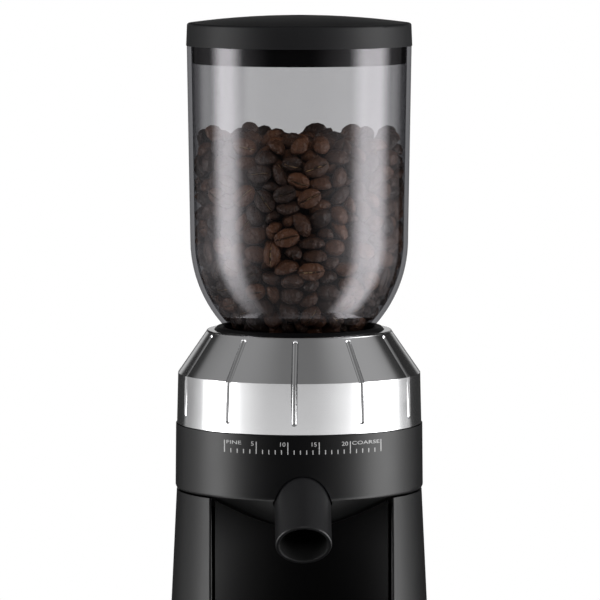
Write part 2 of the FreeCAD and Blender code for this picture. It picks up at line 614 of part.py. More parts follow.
def primitive(body, kind, place, turn=None, about=(1, 0, 0), **sizes):
    """One of the plain solids, added or cut, set by expressions."""
    made = feature(body, kind)
    if turn is not None:
        rotation = FreeCAD.Rotation(FreeCAD.Vector(*about), size(turn))
        made.Placement = FreeCAD.Placement(FreeCAD.Vector(), rotation)
        made.setExpression("Placement.Rotation.Angle", bound(turn))
    for axis, text in zip("xyz", place):
        made.setExpression(f"Placement.Base.{axis}", bound(text))
    for name, text in sizes.items():
        made.setExpression(name, bound(text))
    return made


def capsule(body, start, end, radius):
    """Cut a round-ended rod between two points (radius, height) of the body's upright plane."""
    run = f"(({end[0]}) - ({start[0]}))"
    rise = f"(({end[1]}) - ({start[1]}))"
    reach = f"({radius}) / sqrt({run}^2 + {rise}^2)"
    ahead = (f"{run} * {reach}", f"{rise} * {reach}")
    tail = (f"{start[0]} - {ahead[0]}", f"{start[1]} - {ahead[1]}")
    nose = (f"{end[0]} + {ahead[0]}", f"{end[1]} + {ahead[1]}")
    near = (f"{start[0]} - {ahead[1]}", f"{start[1]} + {ahead[0]}")
    far = (f"{end[0]} - {ahead[1]}", f"{end[1]} + {ahead[0]}")
    sketch = sketch_on(body, "XZ_Plane", [[(*tail, radius, -1), near, (*far, radius, -1), nose]])
    points = [FreeCAD.Vector(size(x), size(y), 0) for x, y in (tail, nose)]
    axis = sketch.addGeometry(Part.LineSegment(*points), True)
    sketch.addConstraint(Sketcher.Constraint("Coincident", axis, 1, 3, 2))
    sketch.addConstraint(Sketcher.Constraint("Coincident", axis, 2, 3, 1))
    made = feature(body, "Groove", sketch)
    made.ReferenceAxis = (sketch, ["Axis0"])
    made.Angle = 360
    return made


def polar(body, originals, count, angle=360):
    made = feature(body, "PolarPattern")
    made.Originals = originals
    made.Axis = (origin_of(body, "Z_Axis"), [""])
    made.Angle = angle
    made.setExpression("Occurrences", bound(count))
    return made


def mirror(body, originals, role="YZ_Plane"):
    made = feature(body, "Mirrored")
    made.Originals = originals
    made.MirrorPlane = (origin_of(body, role), [""])
    return made


def round_edges(body, radius, wanted):
    """Round every edge of the body's present shape that the test accepts."""
    doc.recompute()
    base = body.Tip
    names = [f"Edge{number}" for number, edge in enumerate(base.Shape.Edges, 1) if wanted(edge)]
    made = feature(body, "Fillet")
    made.Base = (base, names)
    made.setExpression("Radius", bound(radius))
    return made


def level_edge(height):
    level = size(height)

    def test(edge):
        box = edge.BoundBox
        return abs(box.ZMin - level) < 1e-4 and abs(box.ZMax - level) < 1e-4
    return test


def round_edge_at(height):
    """Test for the closed edges whose middle lies at a height."""
    level = size(height)
    return lambda edge: edge.isClosed() and abs(edge.CenterOfMass.z - level) < 1e-4


def rectangle(left, low, right, high):
    return [(left, low), (right, low), (right, high), (left, high)]


def ring(inner, outer, low, high):
    return rectangle(inner, low, outer, high)


def round_rectangle(half, back, front, corner):
    """Rounded rectangle ahead of the burr axis; back and front are distances along -Y."""
    return [
        (f"{half}", f"-({back} + {corner})", corner, 1),
        (f"{half} - ({corner})", f"-({back})"),
        (f"-({half} - ({corner}))", f"-({back})", corner, 1),
        (f"-({half})", f"-({back} + {corner})"),
        (f"-({half})", f"-({front} - ({corner}))", corner, 1),
        (f"-({half} - ({corner}))", f"-({front})"),
        (f"{half} - ({corner})", f"-({front})", corner, 1),
        (f"{half}", f"-({front} - ({corner}))"),
    ]


# Lid

def make_lid():
    dimple_z = "lid_top - lid_ball + sqrt(lid_ball^2 - dimple_radius^2)"
    dome_edge = "lid_crown - lid_seam"
    dome_foot = f"lid_top - lid_ball + sqrt(lid_ball^2 - ({dome_edge})^2)"
    hollow = "(dimple_radius^2 + dimple_depth^2) / (2 * dimple_depth)"
    turned("lid_cap", [
        ("0", "lid_top - dimple_depth", hollow, 1),
        ("dimple_radius", dimple_z, "lid_ball", -1),
        (dome_edge, dome_foot),
        (dome_edge, "lid_edge - lid_seam"),
        ("lid_crown", "lid_edge - lid_seam"),
        ("lid_crown", "lid_edge", "lid_round", -1),
        ("lid_crown + lid_round", "lid_edge - lid_round"),
        ("lid_radius", "hopper_rim"),
        ("lid_bore", "hopper_rim"),
        ("lid_bore", "lid_edge - lid_wall", "(lid_bore^2 + lid_dome_height^2) / (2 * lid_dome_height)", 1),
        ("0", "lid_edge + lid_dome_height - lid_wall"),
    ])
    turned("lid_plug", ring("plug_radius - plug_wall", "plug_radius", "hopper_rim - plug_depth",
                            "lid_edge - lid_wall - press_fit"))


# Hopper and finger guard

def make_hopper():
    turned("hopper", [
        ("hopper_rim_radius", "hopper_rim"),
        ("waist_radius", "waist_z", "hopper_round", -1),
        ("neck_radius", "neck_join"),
        ("neck_radius", "neck_bottom"),
        ("neck_bore", "neck_bottom"),
        ("neck_bore", "bore_join", "hopper_round - hopper_wall", 1),
        ("waist_radius - hopper_wall", "waist_z"),
        ("hopper_rim_radius - hopper_wall", "hopper_rim"),
    ])
    guard = turned("finger_guard",
                   ring("guard_radius - guard_ring", "guard_radius", "guard_low", "guard_top"),
                   [("0", "guard_low"), ("guard_hub", "guard_low"), ("guard_hub", "guard_top"),
                    ("0", "guard_top + guard_crown")])
    bar = pad(guard, "guard_height", lift="guard_low",
              outlines=[rectangle("guard_hub * 0.8", "-guard_bar / 2",
                                  "guard_radius - guard_ring / 2", "guard_bar / 2")])
    polar(guard, [bar], "3")


# Adjusting collar and what turns with it

def make_collar():
    shell = turned("collar_shell", [
        ("collar_radius", "collar_bottom"),
        ("collar_shoulder_radius", "collar_shoulder"),
        ("collar_top_radius", "collar_top - collar_round", "collar_arc", 1),
        ("collar_top_radius - collar_round", "collar_top"),
        ("collar_mouth", "collar_top"),
        ("collar_mouth", "collar_top - collar_wall"),
        ("collar_top_radius - top_inset * collar_wall", "collar_top - collar_wall"),
        ("collar_shoulder_radius - collar_wall", "collar_shoulder - bend_rise * collar_wall"),
        ("collar_radius - collar_wall", "collar_bottom"),
    ], turn="groove_angle")
    out = "(groove_ball - groove_depth)"
    along_r = "collar_run / collar_slant"
    along_z = "collar_cone_height / collar_slant"
    start_r = f"collar_top_radius + groove_margin * {along_r} + {out} * {along_z}"
    start_z = f"collar_top - groove_margin * {along_z} + {out} * {along_r}"
    bend_r = f"collar_shoulder_radius + {out}"
    bend_z = f"collar_shoulder + bend_rise * {out}"
    end_out = "(groove_ball - groove_end_depth)"
    foot_r = f"collar_radius - collar_draft * groove_foot / collar_straight + {end_out}"
    foot_z = "collar_bottom + groove_foot"
    upper = capsule(shell, (start_r, start_z), (bend_r, bend_z), "groove_ball")
    lower = capsule(shell, (bend_r, bend_z), (foot_r, foot_z), "groove_ball")
    polar(shell, [upper, lower], "groove_count")

    lip_low = "collar_top - collar_wall - press_fit"
    foot = "housing_top + core_lift"
    skirt = "collar_radius - collar_wall - core_gap"
    core = turned("collar_core", [
        ("core_bore", foot),
        (skirt, foot),
        (skirt, f"{foot} + core_flange"),
        ("core_bore + core_wall", f"{foot} + core_flange"),
        ("core_bore + core_wall", f"{lip_low} - core_flange"),
        ("collar_mouth + core_shoulder", f"{lip_low} - core_flange"),
        ("collar_mouth + core_shoulder", lip_low),
        ("collar_mouth - core_fit", lip_low),
        ("collar_mouth - core_fit", "throat_top - throat_chamfer"),
        ("collar_mouth - core_fit - throat_chamfer", "throat_top"),
        ("throat_radius", "throat_top"),
        ("core_bore", "neck_join - throat_lead"),
        ("core_bore", "seat_top"),
        ("core_bore - seat_width", "seat_top"),
        ("core_bore - seat_width", "seat_low"),
        ("core_bore", "seat_low"),
    ])
    slot = pocket(core, "seat_low - carrier_shelf + lift_room", lift="seat_low",
                  outlines=[rectangle("core_bore - cut_over", "-key_width / 2 - key_gap",
                                      "core_bore + key_reach + key_gap", "key_width / 2 + key_gap")])
    polar(core, [slot], "3")
    turned("throat_seal", ring("core_bore - seat_width + seal_inset", "neck_radius", "seat_top",
                               "neck_bottom"))


def make_carrier():
    carrier = turned("burr_carrier", [
        ("ring_mouth_radius", "ring_top + press_fit"),
        ("carrier_radius - carrier_lip", "carrier_top"),
        ("carrier_radius", "carrier_top"),
        ("carrier_radius", "carrier_shelf"),
        ("sleeve_radius", "carrier_shelf"),
        ("sleeve_radius", "sleeve_bottom"),
        ("ring_radius + press_fit", "sleeve_bottom"),
        ("ring_radius + press_fit", "ring_top + press_fit"),
    ])
    key = pad(carrier, "carrier_rim", lift="carrier_shelf",
              outlines=[rectangle("carrier_radius - carrier_lip", "-key_width / 2",
                                  "core_bore + key_reach", "key_width / 2")])
    polar(carrier, [key], "3")
    hold = "(ring_mouth_radius + ring_radius) / 2"
    seat = "ring_top + burr_screw_lift"
    hole = pocket(carrier, "ring_height", circles=[(hold, "0", "screw_radius + screw_gap")], lift=seat)
    sink = pocket(carrier, "ring_height", circles=[(hold, "0", "screw_head + screw_gap")],
                  lift=f"{seat} + ring_height")
    polar(carrier, [hole, sink], "3")

    burr = turned("ring_burr", [
        ("ring_low_radius", "ring_bottom"),
        ("ring_radius", "ring_bottom"),
        ("ring_radius", "ring_top"),
        ("ring_mouth_radius", "ring_top"),
        ("ring_mid_radius", "cone_mid"),
    ])
    flute = capsule(burr, ("ring_mid_radius", "cone_mid + ring_flute_radius"),
                    ("ring_mouth_radius", "ring_top + ring_flute_radius"), "ring_flute_radius")
    polar(burr, [flute], "ring_flutes")
    thread = pocket(burr, "burr_screw_depth + cut_over", lift="ring_top",
                    circles=[(hold, "0", "screw_radius + screw_gap / 2")])
    polar(burr, [thread], "3")
    screws = new_body("ring_burr_screws")
    shank = primitive(screws, "AdditiveCylinder", (hold, "0", "ring_top - burr_screw_depth"),
                      Radius="screw_radius", Height="burr_screw_depth + burr_screw_lift")
    head = primitive(screws, "AdditiveCylinder", (hold, "0", seat),
                     Radius="screw_head", Height="screw_head_height")
    polar(screws, [shank, head], "3")


# Spindle

def make_spindle():
    turned("main_shaft", [
        ("0", "gearbox_bottom + shaft_foot"),
        ("shaft_radius", "gearbox_bottom + shaft_foot"),
        ("shaft_radius", "cone_top - thread_length"),
        ("thread_radius", "cone_top - thread_length"),
        ("thread_radius", "cone_top + nut_height + thread_end"),
        ("0", "cone_top + nut_height + thread_end"),
    ])
    cone = turned("cone_burr", [
        ("shaft_radius + hub_fit", "cone_bottom"),
        ("cone_base_radius", "cone_bottom"),
        ("cone_base_radius", "cone_land"),
        ("cone_mid_radius", "cone_mid"),
        ("cone_tip_radius", "cone_top"),
        ("thread_radius + hub_fit", "cone_top"),
        ("thread_radius + hub_fit", "cone_top - thread_length + hub_fit"),
        ("shaft_radius + hub_fit", "cone_top - thread_length + hub_fit"),
    ])
    flute = capsule(cone, ("cone_mid_radius + cone_flute_radius / 2", "cone_mid"),
                    ("cone_tip_radius + cone_flute_radius / 2", "cone_top + cone_flute_radius"),
                    "cone_flute_radius")
    polar(cone, [flute], "cone_flutes")
    tooth = capsule(cone, ("cone_base_radius + cone_tooth_radius / 2", "cone_land - cone_tooth_radius"),
                    ("cone_mid_radius + cone_tooth_radius / 2", "cone_mid - cone_tooth_radius"),
                    "cone_tooth_radius")
    polar(cone, [tooth], "cone_teeth")
    nut = new_body("burr_nut")
    primitive(nut, "AdditivePrism", ("0", "0", "cone_top"), Circumradius="nut_radius", Height="nut_height")
    pocket(nut, "nut_height + 2 * cut_over", circles=[("0", "0", "thread_radius + hub_fit")],
           lift="cone_top + nut_height + cut_over")

    sweeper = turned("sweeper", [
        ("shaft_radius + hub_fit", "sweeper_bottom"),
        ("chamber_bore - sweeper_gap", "sweeper_bottom"),
        ("chamber_bore - sweeper_gap", "sweeper_bottom + sweeper_plate"),
        ("shaft_radius + sweeper_boss", "sweeper_bottom + sweeper_plate"),
        ("shaft_radius + sweeper_boss", "cone_bottom"),
        ("shaft_radius + hub_fit", "cone_bottom"),
    ])
    paddle = pad(sweeper, "sweeper_hub - sweeper_plate - paddle_gap", lift="sweeper_bottom + sweeper_plate",
                 outlines=[rectangle("shaft_radius + sweeper_boss * 0.8", "-paddle_width / 2",
                                     "chamber_bore - sweeper_gap - paddle_gap / 2", "paddle_width / 2")])
    polar(sweeper, [paddle], "4")


# Gears

def gear_face(module, teeth, play):
    """Face with stub involute teeth; one tooth points along +X."""
    pressure = math.radians(25)
    pitch = module * teeth / 2
    base = pitch * math.cos(pressure)
    tip = pitch + 0.8 * module
    root = pitch - 1.05 * module
    half = math.pi / teeth / 2 - play / 2 / pitch
    spread = math.tan(pressure) - pressure

    def flank(radius):
        reach = math.acos(min(base / max(radius, base), 1))
        return half + spread - (math.tan(reach) - reach)

    def point(radius, angle):
        return FreeCAD.Vector(radius * math.cos(angle), radius * math.sin(angle), 0)

    start = max(base, root)
    edges = []
    for number in range(teeth):
        middle = number * 2 * math.pi / teeth
        following = middle + 2 * math.pi / teeth
        gap = (middle + following) / 2
        low_right = point(root, middle - flank(start))
        low_left = point(root, middle + flank(start))
        foot_right = point(start, middle - flank(start))
        foot_left = point(start, middle + flank(start))
        if start - root > 1e-6:
            edges.append(Part.LineSegment(low_right, foot_right))
        middle_radius = (start + tip) / 2
        rise = [point(middle_radius, middle - flank(middle_radius)), point(tip, middle - flank(tip))]
        edges.append(Part.Arc(foot_right, rise[0], rise[1]))
        fall = [point(tip, middle + flank(tip)), point(middle_radius, middle + flank(middle_radius))]
        edges.append(Part.Arc(rise[1], point(tip, middle), fall[0]))
        edges.append(Part.Arc(fall[0], fall[1], foot_left))
        if start - root > 1e-6:
            edges.append(Part.LineSegment(foot_left, low_left))
        edges.append(Part.Arc(low_left, point(root, gap), point(root, following - flank(start))))
    return Part.Face(Part.Wire([edge.toShape() for edge in edges]))


def make_gear(label, module, teeth, bore, low, width, turn, x="0", y="0"):
    face = gear_face(size(module), round(size(teeth)), size("gear_play"))
    wheel = face.extrude(FreeCAD.Vector(0, 0, size(width)))
    hole = Part.makeCylinder(size(f"{bore} + hub_fit"), size(width), FreeCAD.Vector())
    gear = doc.addObject("Part::Feature", label)
    gear.Shape = wheel.cut(hole)
    return keep(gear, label, x=x, y=y, z=low, turn=turn)


def make_gears():
    make_gear("main_gear", "slow_module", "main_teeth", "shaft_radius", "slow_z", "slow_width", "lay_angle")
    make_gear("lay_pinion", "slow_module", "lay_pinion_teeth", "lay_radius", "slow_z", "slow_width",
              "lay_angle + 180 + 180 / lay_pinion_teeth", x="lay_x", y="lay_y")
    make_gear("lay_gear", "fast_module", "lay_teeth", "lay_radius", "fast_z", "fast_width", "motor_angle",
              x="lay_x", y="lay_y")
    make_gear("motor_pinion", "fast_module", "motor_teeth", "motor_shaft_radius", "fast_z", "fast_width",
              "motor_angle + 180 + 180 / motor_teeth", x="motor_x", y="motor_y")
    turned("layshaft", [
        ("0", "plate_top - bush_width + lay_end"),
        ("lay_radius", "plate_top - bush_width + lay_end"),
        ("lay_radius", "cover_inside + bush_width - lay_end"),
        ("0", "cover_inside + bush_width - lay_end"),
    ], x="lay_x", y="lay_y")


# Gearbox

def make_gearbox():
    rim = "gear_room + gearbox_wall"
    hold = "gear_room + gearbox_wall / 2"
    where = {"x": "gearbox_x", "y": "gearbox_y"}
    main = ("-gearbox_x", "-gearbox_y")
    lay = ("lay_x - gearbox_x", "lay_y - gearbox_y")
    motor = ("motor_x - gearbox_x", "motor_y - gearbox_y")

    plate = new_body("gearbox_plate", **where)
    pad(plate, "gearbox_plate_thick", circles=[("0", "0", rim)], lift="gearbox_bottom")
    pocket(plate, "bearing_width", circles=[(*main, "bearing_radius")], lift="plate_top")
    pocket(plate, "bush_width", circles=[(*lay, "bush_radius")], lift="plate_top")
    shaft_hole = (*motor, "motor_shaft_radius + motor_shaft_room")
    pocket(plate, "gearbox_plate_thick", circles=[shaft_hole], lift="plate_top")
    screw_x = "motor_x - gearbox_x + motor_screw_pitch / 2"
    other_x = "motor_x - gearbox_x - motor_screw_pitch / 2"
    for x in (screw_x, other_x):
        pocket(plate, "gearbox_plate_thick", circles=[(x, motor[1], "motor_screw + screw_gap")],
               lift="plate_top")
        pocket(plate, "screw_head_height + motor_head_sink",
               circles=[(x, motor[1], "screw_head + screw_gap")], lift="plate_top")
    shank_hole = (hold, "0", "gearbox_screw + gearbox_screw_gap")
    hole = pocket(plate, "gearbox_plate_thick", circles=[shank_hole], lift="plate_top")
    polar(plate, [hole], "gearbox_screw_count")

    cover = new_body("gearbox_cover", **where)
    pad(cover, "gearbox_top - plate_top", circles=[("0", "0", rim)], lift="plate_top")
    pocket(cover, "gearbox_inside", circles=[("0", "0", "gear_room")], lift="plate_top", upward=True)
    pocket(cover, "bearing_width", circles=[(*main, "bearing_radius")], lift="cover_inside", upward=True)
    pocket(cover, "gearbox_lid_thick", circles=[(*main, "shaft_radius + shaft_room")], lift="cover_inside",
           upward=True)
    pocket(cover, "bush_width", circles=[(*lay, "bush_radius")], lift="cover_inside", upward=True)
    hole = pocket(cover, "gearbox_screw_length - gearbox_plate_thick + gear_gap", circles=[shank_hole],
                  lift="plate_top", upward=True)
    polar(cover, [hole], "gearbox_screw_count")

    screws = new_body("gearbox_screws", **where)
    shank = primitive(screws, "AdditiveCylinder", (hold, "0", "gearbox_bottom"),
                      Radius="gearbox_screw", Height="gearbox_screw_length")
    head = primitive(screws, "AdditiveCylinder", (hold, "0", "gearbox_bottom - gearbox_head_height"),
                     Radius="gearbox_screw_head", Height="gearbox_head_height")
    polar(screws, [shank, head], "gearbox_screw_count")

    rings = [ring("shaft_radius + shaft_fit", "bearing_radius - hub_fit", low, f"{low} + bearing_width")
             for low in ("plate_top - bearing_width", "cover_inside", "chamber_bottom")]
    turned("shaft_bearings", *rings)
    bushes = [ring("lay_radius + shaft_fit", "bush_radius - hub_fit", low, f"{low} + bush_width")
              for low in ("plate_top - bush_width", "cover_inside")]
    turned("layshaft_bushes", *bushes, x="lay_x", y="lay_y")
    posts = new_body("chamber_posts")
    post = primitive(posts, "AdditiveCylinder", ("0", "post_circle", "gearbox_top"), Radius="post_radius",
                     Height="chamber_bottom - gearbox_top")
    polar(posts, [post], "3")


# Motor

def make_motor():
    where = {"x": "motor_x", "y": "motor_y"}
    shaft_hole = "motor_shaft_radius + shaft_fit"
    turned("motor_can", [
        (shaft_hole, "gearbox_bottom"),
        (shaft_hole, "gearbox_bottom - motor_wall"),
        ("motor_radius - motor_wall", "gearbox_bottom - motor_wall"),
        ("motor_radius - motor_wall", "motor_bottom + motor_cap_thick"),
        ("motor_radius", "motor_bottom + motor_cap_thick"),
        ("motor_radius", "gearbox_bottom"),
    ], **where)
    can = pieces[-1]
    for x in ("motor_screw_pitch / 2", "-motor_screw_pitch / 2"):
        pocket(can, "motor_wall * 2", circles=[(x, "0", "motor_screw + screw_gap / 2")],
               lift="gearbox_bottom")
    turned("motor_cap", [
        (shaft_hole, "motor_bottom"),
        ("motor_radius - motor_cap_bevel", "motor_bottom"),
        ("motor_radius", "motor_bottom + motor_cap_bevel"),
        ("motor_radius", "motor_bottom + motor_cap_thick"),
        (shaft_hole, "motor_bottom + motor_cap_thick"),
    ], **where)
    inner = "(armature_radius + magnet_gap)"
    outer = "(motor_radius - motor_wall - press_fit)"
    magnets = new_body("motor_magnets", **where)
    magnet = pad(magnets, "motor_length * 0.5", lift="motor_bottom + motor_cap_thick + coil_room", outlines=[[
        (f"{outer} * cos(magnet_half)", f"-{outer} * sin(magnet_half)", outer, 1),
        (f"{outer} * cos(magnet_half)", f"{outer} * sin(magnet_half)"),
        (f"{inner} * cos(magnet_half)", f"{inner} * sin(magnet_half)", inner, -1),
        (f"{inner} * cos(magnet_half)", f"-{inner} * sin(magnet_half)"),
    ]])
    mirror(magnets, [magnet])
    turned("motor_shaft", [
        ("0", "motor_bottom + motor_shaft_end"),
        ("motor_shaft_radius", "motor_bottom + motor_shaft_end"),
        ("motor_shaft_radius", "fast_z + fast_width"),
        ("0", "fast_z + fast_width"),
    ], **where)
    armature = turned("armature", [
        ("motor_shaft_radius + hub_fit", "motor_bottom + motor_cap_thick + commutator_lift"),
        ("motor_shaft_radius + commutator_wall", "motor_bottom + motor_cap_thick + commutator_lift"),
        ("motor_shaft_radius + commutator_wall", "motor_bottom + motor_cap_thick + coil_room"),
        ("armature_radius", "motor_bottom + motor_cap_thick + coil_room"),
        ("armature_radius", "gearbox_bottom - coil_room"),
        ("motor_shaft_radius + hub_fit", "gearbox_bottom - coil_room"),
    ], **where)
    slot = primitive(armature, "SubtractiveCylinder",
                     ("armature_radius", "0", "motor_bottom + motor_cap_thick + commutator_lift"),
                     Radius="armature_slot", Height="motor_length")
    polar(armature, [slot], "armature_slots")
    screws = new_body("motor_screws", **where)
    seat = "plate_top - screw_head_height - motor_head_sink"
    shank = primitive(screws, "AdditiveCylinder",
                      ("motor_screw_pitch / 2", "0", "gearbox_bottom - motor_wall - motor_screw_end"),
                      Radius="motor_screw", Height=f"{seat} - gearbox_bottom + motor_wall + motor_screw_end")
    head = primitive(screws, "AdditiveCylinder", ("motor_screw_pitch / 2", "0", seat), Radius="screw_head",
                     Height="screw_head_height")
    mirror(screws, [shank, head])


# Grinding chamber, scale housing and spout

def along_spout(distance):
    """Point on the spout's axis, measured inward from its open end."""
    ahead = f"spout_reach - ({distance}) * cos(spout_angle)"
    return ("0", f"-({ahead})", f"spout_z + ({distance}) * sin(spout_angle)")


def spout_rod(body, kind, radius, outer_end, inner_end):
    return primitive(body, kind, along_spout(inner_end), "90 + spout_angle", Radius=radius,
                     Height=f"({inner_end}) - ({outer_end})")


def make_chamber():
    deck_low = "housing_top - housing_wall"
    flange = "chamber_neck + flange_width"
    wall = "chamber_bore + chamber_wall"
    step = "sleeve_bottom - chamber_shoulder"
    chamber = turned("grind_chamber", [
        ("0", "chamber_bottom"),
        (wall, "chamber_bottom"),
        (wall, f"{deck_low} - flange_thick"),
        (flange, f"{deck_low} - flange_thick"),
        (flange, deck_low),
        ("chamber_neck", deck_low),
        ("chamber_neck", "neck_top"),
        ("0", "neck_top"),
    ])
    spout_rod(chamber, "AdditiveCylinder", "spout_radius + socket_wall", "socket_start",
              "spout_length + socket_neck")
    revolve(chamber, ring("chamber_neck", "housing_radius", deck_low, "neck_top + thread_rise"), cut=True)
    revolve(chamber, [
        ("0", "chamber_floor"),
        ("chamber_bore", "chamber_floor"),
        ("chamber_bore", f"{step} - chamber_shoulder"),
        ("thread_bore", step),
        ("thread_bore", "neck_top + cut_over"),
        ("0", "neck_top + cut_over"),
    ], cut=True)
    pocket(chamber, "bearing_width", circles=[("0", "0", "bearing_radius")], lift="chamber_bottom",
           upward=True)
    pocket(chamber, "chamber_floor_wall + cut_over", circles=[("0", "0", "shaft_radius + shaft_room")],
           lift="chamber_bottom", upward=True)
    spout_rod(chamber, "SubtractiveCylinder", "spout_radius + press_fit", "socket_start - socket_wall",
              "spout_length + socket_seat")
    spout_rod(chamber, "SubtractiveCylinder", "socket_bore", "socket_start", "spout_length + socket_passage")
    primitive(chamber, "SubtractiveBox",
              ("-window_width / 2", "-(chamber_bore + window_depth - 2 * cut_over)", "chamber_floor"),
              Length="window_width", Width="window_depth", Height="window_height")
    hold = "chamber_neck + flange_width - deck_screw_inset"
    hole = pocket(chamber, "deck_screw_length", circles=[("0", hold, "screw_radius + screw_gap / 2")],
                  lift=deck_low)
    polar(chamber, [hole], "3")

    housing = turned("upper_housing", [
        ("chamber_neck + press_fit", "housing_top"),
        ("housing_radius - housing_draft", "housing_top"),
        ("housing_radius", "housing_bottom + housing_round", "housing_round", -1),
        ("bowl_edge", "housing_bottom"),
        ("bowl_hole", "housing_bottom - bowl_drop"),
        ("bowl_hole", "housing_bottom - bowl_drop + bowl_skin"),
        ("housing_radius - housing_wall",
         "housing_bottom - bowl_drop + bowl_skin + (housing_radius - housing_wall - bowl_hole) * bowl_ratio"),
        ("housing_radius - housing_wall - housing_draft", deck_low),
        ("chamber_neck + press_fit", deck_low),
    ])
    spout_rod(housing, "SubtractiveCylinder", "spout_radius + spout_gap", "-spout_stand", "spout_length")
    hole = pocket(housing, "housing_wall + cut_over", circles=[("0", hold, "screw_radius + screw_gap")],
                  lift="housing_top")
    sink = pocket(housing, "screw_head_height", circles=[("0", hold, "screw_head + screw_gap")],
                  lift="housing_top")
    polar(housing, [hole, sink], "3")

    spout = new_body("spout")
    spout_rod(spout, "AdditiveCylinder", "spout_radius", "0", "spout_length")
    spout_rod(spout, "SubtractiveCylinder", "spout_bore", "-socket_passage", "spout_length + socket_passage")
    round_edges(spout, "spout_lip", round_edge_at("spout_z"))

    screws = new_body("deck_screws")
    shank = primitive(screws, "AdditiveCylinder",
                      ("0", hold, "housing_top - screw_head_height - deck_screw_length"),
                      Radius="screw_radius", Height="deck_screw_length")
    head = primitive(screws, "AdditiveCylinder", ("0", hold, "housing_top - screw_head_height"),
                     Radius="screw_head", Height="screw_head_height")
    polar(screws, [shank, head], "3")


# Column and front panel

def cheek_edge(edge):
    """Whether an edge is the outer one beside the recess."""
    middle = edge.BoundBox.Center
    wall = size("(column_top_radius + column_foot_radius - column_wall) / 2")
    beside = abs(abs(middle.x) - size("recess_half")) < 1e-4
    upright = edge.BoundBox.ZLength > size("column_height / 2")
    return beside and upright and math.hypot(middle.x, middle.y) > wall


def make_column():
    flange_in = "column_foot_radius - column_wall - column_flange"
    column = turned("column_shell", [
        ("column_foot_radius", "base_top"),
        ("column_top_radius", "column_top"),
        ("column_top_radius - column_wall", "column_top"),
        ("column_foot_radius - column_wall", "base_top + column_flange_thick"),
        (flange_in, "base_top + column_flange_thick"),
        (flange_in, "base_top"),
    ])
    pocket(column, "column_height + 2 * cut_past", lift="column_top + cut_past",
           outlines=[rectangle("-recess_half", "-column_foot_radius - cut_past", "recess_half", "0")])
    round_edges(column, "cheek_round", cheek_edge)
    hole_w = "(rocker_frame_w - 2 * rocker_shell + 2 * rocker_hole_gap)"
    hole_h = "(rocker_frame_h - 2 * rocker_shell + 3 * rocker_hole_gap)"
    primitive(column, "SubtractiveBox",
              ("rocker_x - rocker_body / 2", f"-{hole_w} / 2", f"rocker_z - {hole_h} / 2"),
              Length="rocker_body", Width=hole_w, Height=hole_h)
    hold = "column_foot_radius - column_wall - column_flange / 2"
    bore = pocket(column, "column_flange_thick + 2 * cut_over",
                  lift="base_top + column_flange_thick + cut_over",
                  circles=[(hold, "0", "screw_radius + screw_gap / 2")])
    polar(column, [bore], "column_screw_count", angle=180)
    screws = new_body("column_screws")
    shank = primitive(screws, "AdditiveCylinder", (hold, "0", "base_ceiling"), Radius="screw_radius",
                      Height="base_top + column_flange_thick - base_ceiling - screw_short")
    head = primitive(screws, "AdditiveCylinder", (hold, "0", "base_ceiling - screw_head_height"),
                     Radius="screw_head", Height="screw_head_height")
    polar(screws, [shank, head], "column_screw_count", angle=180)

    panel = new_body("front_panel")
    back_y = "-(recess_centre - sqrt((recess_curve + panel_wall)^2 - panel_half^2))"
    pad(panel, "column_height", lift="base_top + press_fit", outlines=[[
        ("-panel_half", "-panel_edge", "recess_curve", -1),
        ("panel_half", "-panel_edge"),
        ("panel_half", back_y, "recess_curve + panel_wall", 1),
        ("-panel_half", back_y),
    ]])
    for side in ("", "-"):
        primitive(panel, "AdditiveCylinder", (f"{side}switch_post_x", "-switch_face", "button_z"), "90",
                  Radius="switch_post_radius", Height="panel_mid - switch_face + panel_wall / 4")
    under = "housing_bottom - panel_top_gap"
    revolve(panel, [
        ("bowl_hole - cut_past", f"{under} - (bowl_edge - bowl_hole + cut_past) * bowl_ratio"),
        ("bowl_edge + cut_past", f"{under} + cut_past * bowl_ratio"),
        ("bowl_edge + cut_past", "column_top + 2 * cut_past"),
        ("bowl_hole - cut_past", "column_top + 2 * cut_past"),
    ], cut=True)
    primitive(panel, "SubtractiveCylinder", ("0", "-(panel_mid - panel_drill / 2)", "button_z"), "90",
              Radius="button_radius + button_gap", Height="panel_drill")
    for side in ("", "-"):
        primitive(panel, "SubtractiveCylinder",
                  (f"{side}cradle_screw_x", "-(cradle_screw_y - panel_drill / 2)", "cradle_screw_z"), "90",
                  Radius="screw_radius + screw_gap", Height="panel_drill")


# Base, tray and feet

def base_plan(inset):
    side = f"base_radius - ({inset})"
    corner = f"base_corner - ({inset})"
    front = f"base_front - ({inset})"
    return [
        (side, "0", side, 1),
        ("0", side, side, 1),
        (f"-({side})", "0"),
        (f"-({side})", f"-({front} - ({corner}))", corner, 1),
        (f"-({side} - ({corner}))", f"-({front})"),
        (f"{side} - ({corner})", f"-({front})", corner, 1),
        (side, f"-({front} - ({corner}))"),
    ]


def base_screw_places():
    front = ("foot_x", "-(foot_front - screw_from_foot)")
    back = ("foot_x + screw_past_foot", "foot_back - screw_ahead")
    return [front, back]


